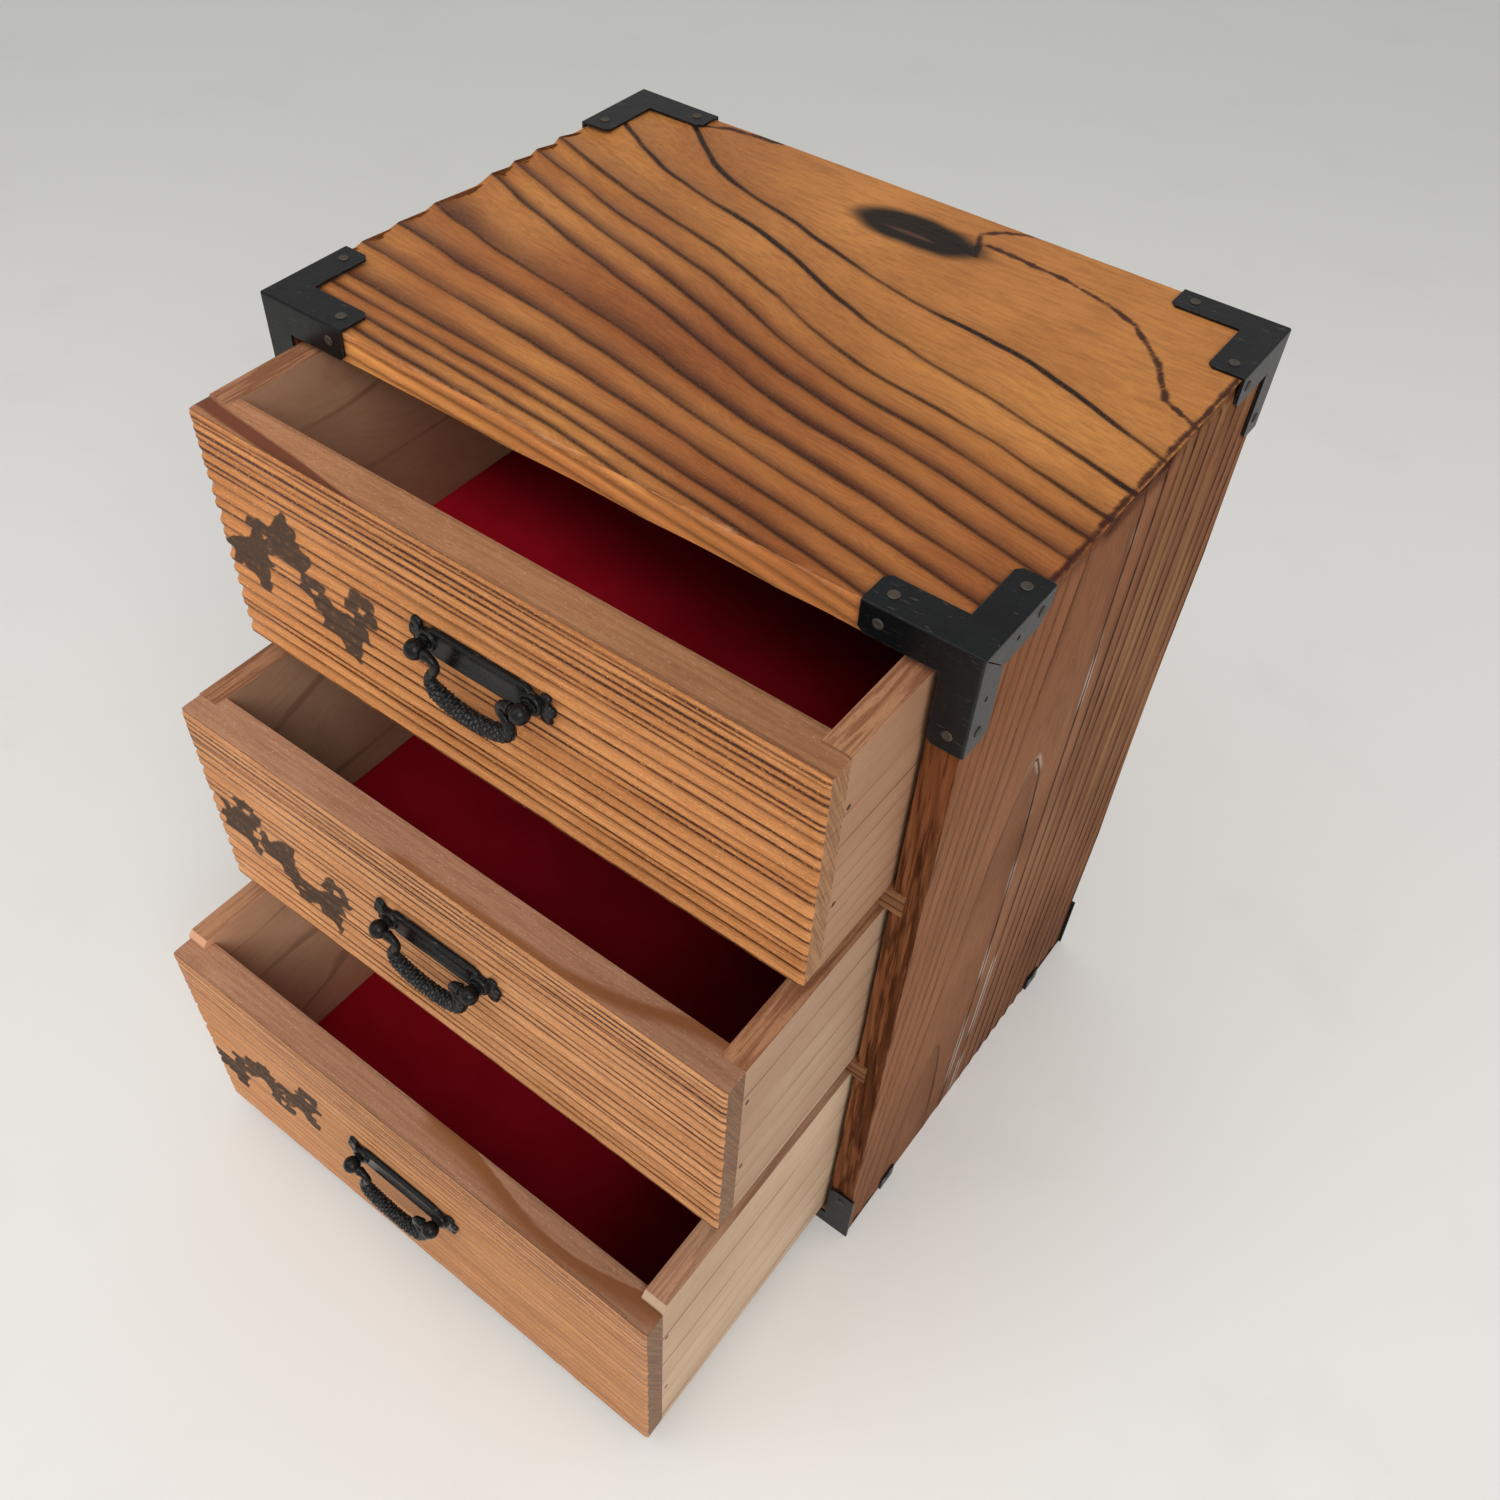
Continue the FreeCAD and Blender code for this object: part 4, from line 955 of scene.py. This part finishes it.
# ================ bail pulls
PULL_HALF = 16.2            # half the distance between the posts
POST_OFFSET = 5.3           # from the front to the centres of the balls
BALL_RADIUS = 2.6
BALL_GAP = 0.35
PIN_RADIUS, PIN_REACH = 0.8, 1.85           # the pins, and how far they reach from the bail
BAIL_STUB, ELBOW_RADIUS, ELBOW_TURN = 1.0, 2.3, 130.0
ELBOW_RUN = math.radians(ELBOW_TURN) * ELBOW_RADIUS
ARM_RUN, HIP_RADIUS, BOW_ANGLE = 2.0, 3.2, 25.0
ARM_RADIUS, KNOB_RADIUS, GRIP_RADIUS, GRIP_TAPER = 1.1, 1.5, 2.25, 8.0
SCALE_LENGTH, SCALE_HEIGHT, SCALES_AROUND = 1 / 0.85, 0.46, 9       # on the grip
PLATE_HEIGHT, PLATE_CORNER = 8.8, 3.0
# Rings of the castings from the drawer's face outwards: share of the outline, and height.
PLATE_RINGS = ((0.99, 0), (1, 0.3), (0.985, 1.15), (0.93, 1.5), (0.86, 1.6), (0.78, 1.48), (0.3, 1.44))
FINIAL_RINGS = ((0.99, 0), (1, 0.3), (0.94, 0.95), (0.8, 1.3), (0.45, 1.05), (0.15, 1.2))


def bail_path(fine):
    """Centre line of the right arm from its pin: x, height, heading and distance."""
    hip_turn = BOW_ANGLE - ELBOW_TURN
    x, z, heading, travelled = PULL_HALF - BALL_RADIUS - BALL_GAP + PIN_REACH, 0.0, 180.0, -PIN_REACH
    stretches = [(PIN_REACH + BAIL_STUB, 0), (ELBOW_RUN, ELBOW_TURN), (ARM_RUN, 0),
                 (math.radians(abs(hip_turn)) * HIP_RADIUS, hip_turn)]
    path = []

    def run(length, turn):
        nonlocal x, z, heading, travelled
        count = max(2, round(length / fine))
        for _ in range(count):
            path.append((x, z, heading, travelled))
            middle = math.radians(heading + turn / count / 2)
            x, z = x + length / count * math.cos(middle), z + length / count * math.sin(middle)
            heading, travelled = heading + turn / count, travelled + length / count

    for length, turn in stretches:
        run(length, turn)
    bow = math.radians(BOW_ANGLE)
    run(x / math.sin(bow) * bow, -BOW_ANGLE)
    path.append((0.0, z, heading, travelled))
    return np.array(path)


def bail(name):
    """The bail: pins, hooked arms with a knob, and a swollen grip cast with rows of scales."""
    half = bail_path(0.22)
    mirrored = half[-2::-1] * [-1, 1, -1, 1]
    mirrored[:, 2] += 360
    x, z, heading, travelled = np.concatenate([half, mirrored]).T[:, :, None]
    around = np.linspace(0, 2 * np.pi, 48, endpoint=False)[None]
    grip_start = BAIL_STUB + ELBOW_RUN + ARM_RUN / 2
    share = smoothstep(0, GRIP_TAPER, travelled - grip_start)
    radius = ARM_RADIUS + (KNOB_RADIUS - ARM_RADIUS) * np.exp(-(travelled / KNOB_RADIUS) ** 2)
    radius = radius + (GRIP_RADIUS - ARM_RADIUS) * share
    collar = 0.25 * np.exp(-((travelled - grip_start - 0.6) / 0.45) ** 2)
    run = travelled / SCALE_LENGTH
    row = np.floor(run)
    scale = np.abs(((around / (2 * np.pi) * SCALES_AROUND + 0.5 * (row % 2)) % 1) - 0.5) * 2
    ripple = (run - row) * (1 - scale ** 2) - 0.45 + 0.25 * noise2(travelled * 1.5, around * 2, 71)
    radius = radius + collar + share * SCALE_HEIGHT * (ripple - 0.2)
    # crest marks the scales' high points, painted bright by the iron: worn metal with painted glints.
    crest = share * smoothstep(0.12, 0.42, ripple) + 0 * radius
    radius = np.where(travelled < -0.05, PIN_RADIUS, radius)
    turn = np.radians(heading)
    side_x, side_z = -np.sin(turn), np.cos(turn)
    reach = radius * np.sin(around)
    points = np.stack([x + side_x * reach, -radius * np.cos(around) + 0 * x, z + side_z * reach], -1)
    low, high = node_box(name + "_bail")
    face = node_box(name + "_pull_plate")[1][1]
    points += np.array([0, face - POST_OFFSET, node_box(name + "_pull_posts")[0][2] + BALL_RADIUS])
    points[..., 1] = np.clip(points[..., 1], low[1], high[1])
    points[..., 2] = np.clip(points[..., 2], low[2], high[2])
    faces = loft_faces(*crest.shape)
    thing = make_object(name + "_cast_bail", points, faces, CAST_IRON, {"crest": crest}, sharp=50)
    return place(thing, name + "_pull", "cast_black", name + "_bail")


def cast_plate(outline, spine, rings):
    """Points and faces of a casting: its outline shrinks towards the spine ring by ring."""
    points = []
    for share, height in rings:
        for (ox, oz), (sx, sz) in zip(outline, spine):
            points.append((sx + (ox - sx) * share, -height, sz + (oz - sz) * share))
    return points, loft_faces(len(rings), len(outline))


def bar_outline():
    """The plate's long bar with rounded corners, and the spine its points shrink towards."""
    half, rise = PULL_HALF, PLATE_HEIGHT / 2
    outline, spine = [], []
    for sx, sz, start in ((1, 1, 0), (-1, 1, 90), (-1, -1, 180), (1, -1, 270)):
        for i in range(9):
            angle = math.radians(start + 90 * i / 8)
            outline.append((sx * (half - PLATE_CORNER) + PLATE_CORNER * math.cos(angle),
                            sz * (rise - PLATE_CORNER) + PLATE_CORNER * math.sin(angle)))
            spine.append((sx * (half - PLATE_CORNER), 0))
    return outline, spine


# Half of a finial's outline from its neck to its tip, round its middle: a notched bow.
FINIAL = ((-3.6, 0), (-3.5, 1.2), (-2.3, 1.3), (-1.7, 2.2), (-1.8, 3.4), (-0.9, 4.6), (0.5, 4.75), (1.6, 3.9),
          (1.2, 2.9), (0.95, 2.1), (1.6, 1.5), (2.5, 1.2), (2.6, 0))


def finial_outline(sign, tip):
    """A finial's corners, cut once so that they read as cast, and the centre they shrink towards."""
    half = np.array(FINIAL)
    corners = np.concatenate([half, half[-2:0:-1] * [1, -1]])
    following = np.roll(corners, -1, 0)
    cut = np.stack([corners * 0.78 + following * 0.22, corners * 0.22 + following * 0.78], 1).reshape(-1, 2)
    centre = sign * (tip - 2.6)
    outline = [(centre + sign * dx, dz) for dx, dz in cut]
    return outline, [(centre, 0)] * len(outline)


def pull_plate(name):
    """The cast plate: its bar, a finial at either end, and a boss around either post."""
    low, high = node_box(name + "_pull_plate")
    posts = node_box(name + "_pull_posts")
    boss = high[1] - low[1]
    boss_rings = ((3.0, 0.2), (3.1, 1.5), (2.95, boss - 0.25), (2.6, boss), (2.1, boss - 0.2),
                  (1.5, boss - 0.1))
    circle = [(math.cos(math.radians(a)), math.sin(math.radians(a))) for a in range(0, 360, 10)]
    pieces = [cast_plate(*bar_outline(), PLATE_RINGS)]
    for sign in (-1, 1):
        centre = sign * PULL_HALF
        rim = [(centre + c, s) for c, s in circle]
        pieces.append(cast_plate(*finial_outline(sign, high[0]), FINIAL_RINGS))
        pieces.append(cast_plate(rim, [(centre, 0)] * len(rim), boss_rings))
    points, faces = [], []
    for piece_points, piece_faces in pieces:
        faces += [[i + len(points) for i in face] for face in piece_faces]
        points += piece_points
    points = np.array(points) + [0, high[1], (posts[0][2] + posts[1][2]) / 2]
    thing = make_object(name + "_cast_plate", points, faces, CAST_IRON, sharp=60)
    return place(thing, name, "cast_black", name + "_pull_plate")


def pulls():
    """Each drawer's plate and bail, and the CAD posts and nuts."""
    for name in DRAWERS:
        pull_plate(name)
        bail(name)
        for part in ("_pull_posts", "_pull_nuts"):
            finish_node(name + part, CAST_IRON, 0)


# ================ camera, light, floor
CAMERA_PLACE = (0.17385, -0.26309, 0.45623)             # metres
CAMERA_ANGLES = (36.11866, 48.55367, 2.03602)           # azimuth, elevation and roll in degrees
CAMERA_LENS, CAMERA_SHIFT = 34.137, (0.03314, 0.00467)  # millimetres; shares of the frame
LIGHT_TARGET = (0, -0.1, 0.1)
DAYLIGHT = (1.0, 0.99, 0.97)
FLOOR_REACH = 4000


def camera():
    """Above the right front corner, looking down on the open drawers."""
    azimuth, elevation, roll = (math.radians(angle) for angle in CAMERA_ANGLES)
    back = Vector((math.sin(azimuth) * math.cos(elevation), -math.cos(azimuth) * math.cos(elevation),
                   math.sin(elevation)))
    right = Vector((0, 0, 1)).cross(back).normalized()
    upward = back.cross(right)
    cos, sin = math.cos(roll), math.sin(roll)
    turn = Matrix((right * cos + upward * sin, upward * cos - right * sin, back)).transposed().to_4x4()
    data = bpy.data.cameras.new("camera")
    data.lens = CAMERA_LENS
    data.shift_x, data.shift_y = CAMERA_SHIFT
    data.clip_start = 0.01
    eye = linked("camera", data)
    eye.matrix_world = Matrix.Translation(CAMERA_PLACE) @ turn
    bpy.context.scene.camera = eye


def area_light(name, place_m, size, watts):
    """A round light that faces the chest; its place and size are in metres."""
    data = bpy.data.lights.new(name, "AREA")
    data.shape = "DISK"
    data.size, data.energy, data.color = size, watts, DAYLIGHT
    lamp = linked(name, data)
    aim = (Vector(place_m) - Vector(LIGHT_TARGET)).to_track_quat("Z", "Y")
    lamp.matrix_world = Matrix.Translation(place_m) @ aim.to_matrix().to_4x4()


def light():
    """Strong light from the right, weak light from the left and above, and an even room."""
    area_light("window_light", (-0.60, -0.95, 1.15), 0.9, 2.2)
    area_light("side_light", (1.0, -0.9, 1.2), 1.0, 12.0)
    area_light("ceiling_light", (-0.1, -0.35, 1.5), 1.0, 2.6)
    world = bpy.data.worlds.new("room")
    world.use_nodes = True
    background = world.node_tree.nodes["Background"]
    background.inputs["Color"].default_value = (*DAYLIGHT, 1)
    background.inputs["Strength"].default_value = 0.5
    bpy.context.scene.world = world


def floor():
    """A painted floor with faint stains, painted lighter near the front left and greyer far away: painted
    light falloff.
    """
    g = Graph("painted_floor")
    here = g.place_mm()
    x, y, _ = g.split(here)
    stain = g.noise(here, 0.012, 4.0, 0.6)
    speck = g.noise(here, 0.25, 3.0, 0.7)
    # Painted light falloff: the floor is painted lighter near the front left and greyer far away.
    away = g.add(g.mul(y, 0.81), g.mul(x, -0.59))
    g.color = g.mix(g.ramp(away, -100.0, 800.0), (0.915, 0.905, 0.885), (0.765, 0.770, 0.755))
    g.coat(g.mul(g.ramp(stain, 0.5, 0.75), 0.12), (0.62, 0.62, 0.60))
    g.coat(g.mul(g.ramp(speck, 0.64, 0.72), 0.10), (0.92, 0.92, 0.90))
    corners = [(sx * FLOOR_REACH, sy * FLOOR_REACH, 0) for sx, sy in ((-1, -1), (1, -1), (1, 1), (-1, 1))]
    material = g.finish(0.6, g.bump(stain, 0.1, 1.0))
    make_object("floor", corners, [(0, 1, 2, 3)], material)


# ================ the scene
PANEL_WOOD = planed("drawer_bottom_wood", planed_look(0.9, 0.0, 9.0), (0, 1, 9.0, 0.3, 2.0, None), 31.0)
FRONT_WOOD = wood_front()
SHEET_IRON = iron_material("blackened_sheet_iron", (0.0038, 0.0044, 0.0052), (0.11, 0.10, 0.09), 0.36)
CAST_IRON = iron_material("cast_black_iron", (0.0046, 0.0048, 0.0052), (0.15, 0.145, 0.14), 0.28)
RUSTY_IRON = iron_material("rusty_nail_iron", (0.040, 0.016, 0.008), (0.16, 0.075, 0.03), 0.7)
NAIL = iron_material("nail_iron", (0.045, 0.036, 0.028), (0.20, 0.17, 0.14), 0.5)

top_board()
for hand in ("left", "right"):
    side_board(hand)
planed_boards()
irons()
for drawer in DRAWERS:
    drawer_front(drawer)
    felt(drawer)
pulls()
camera()
light()
floor()
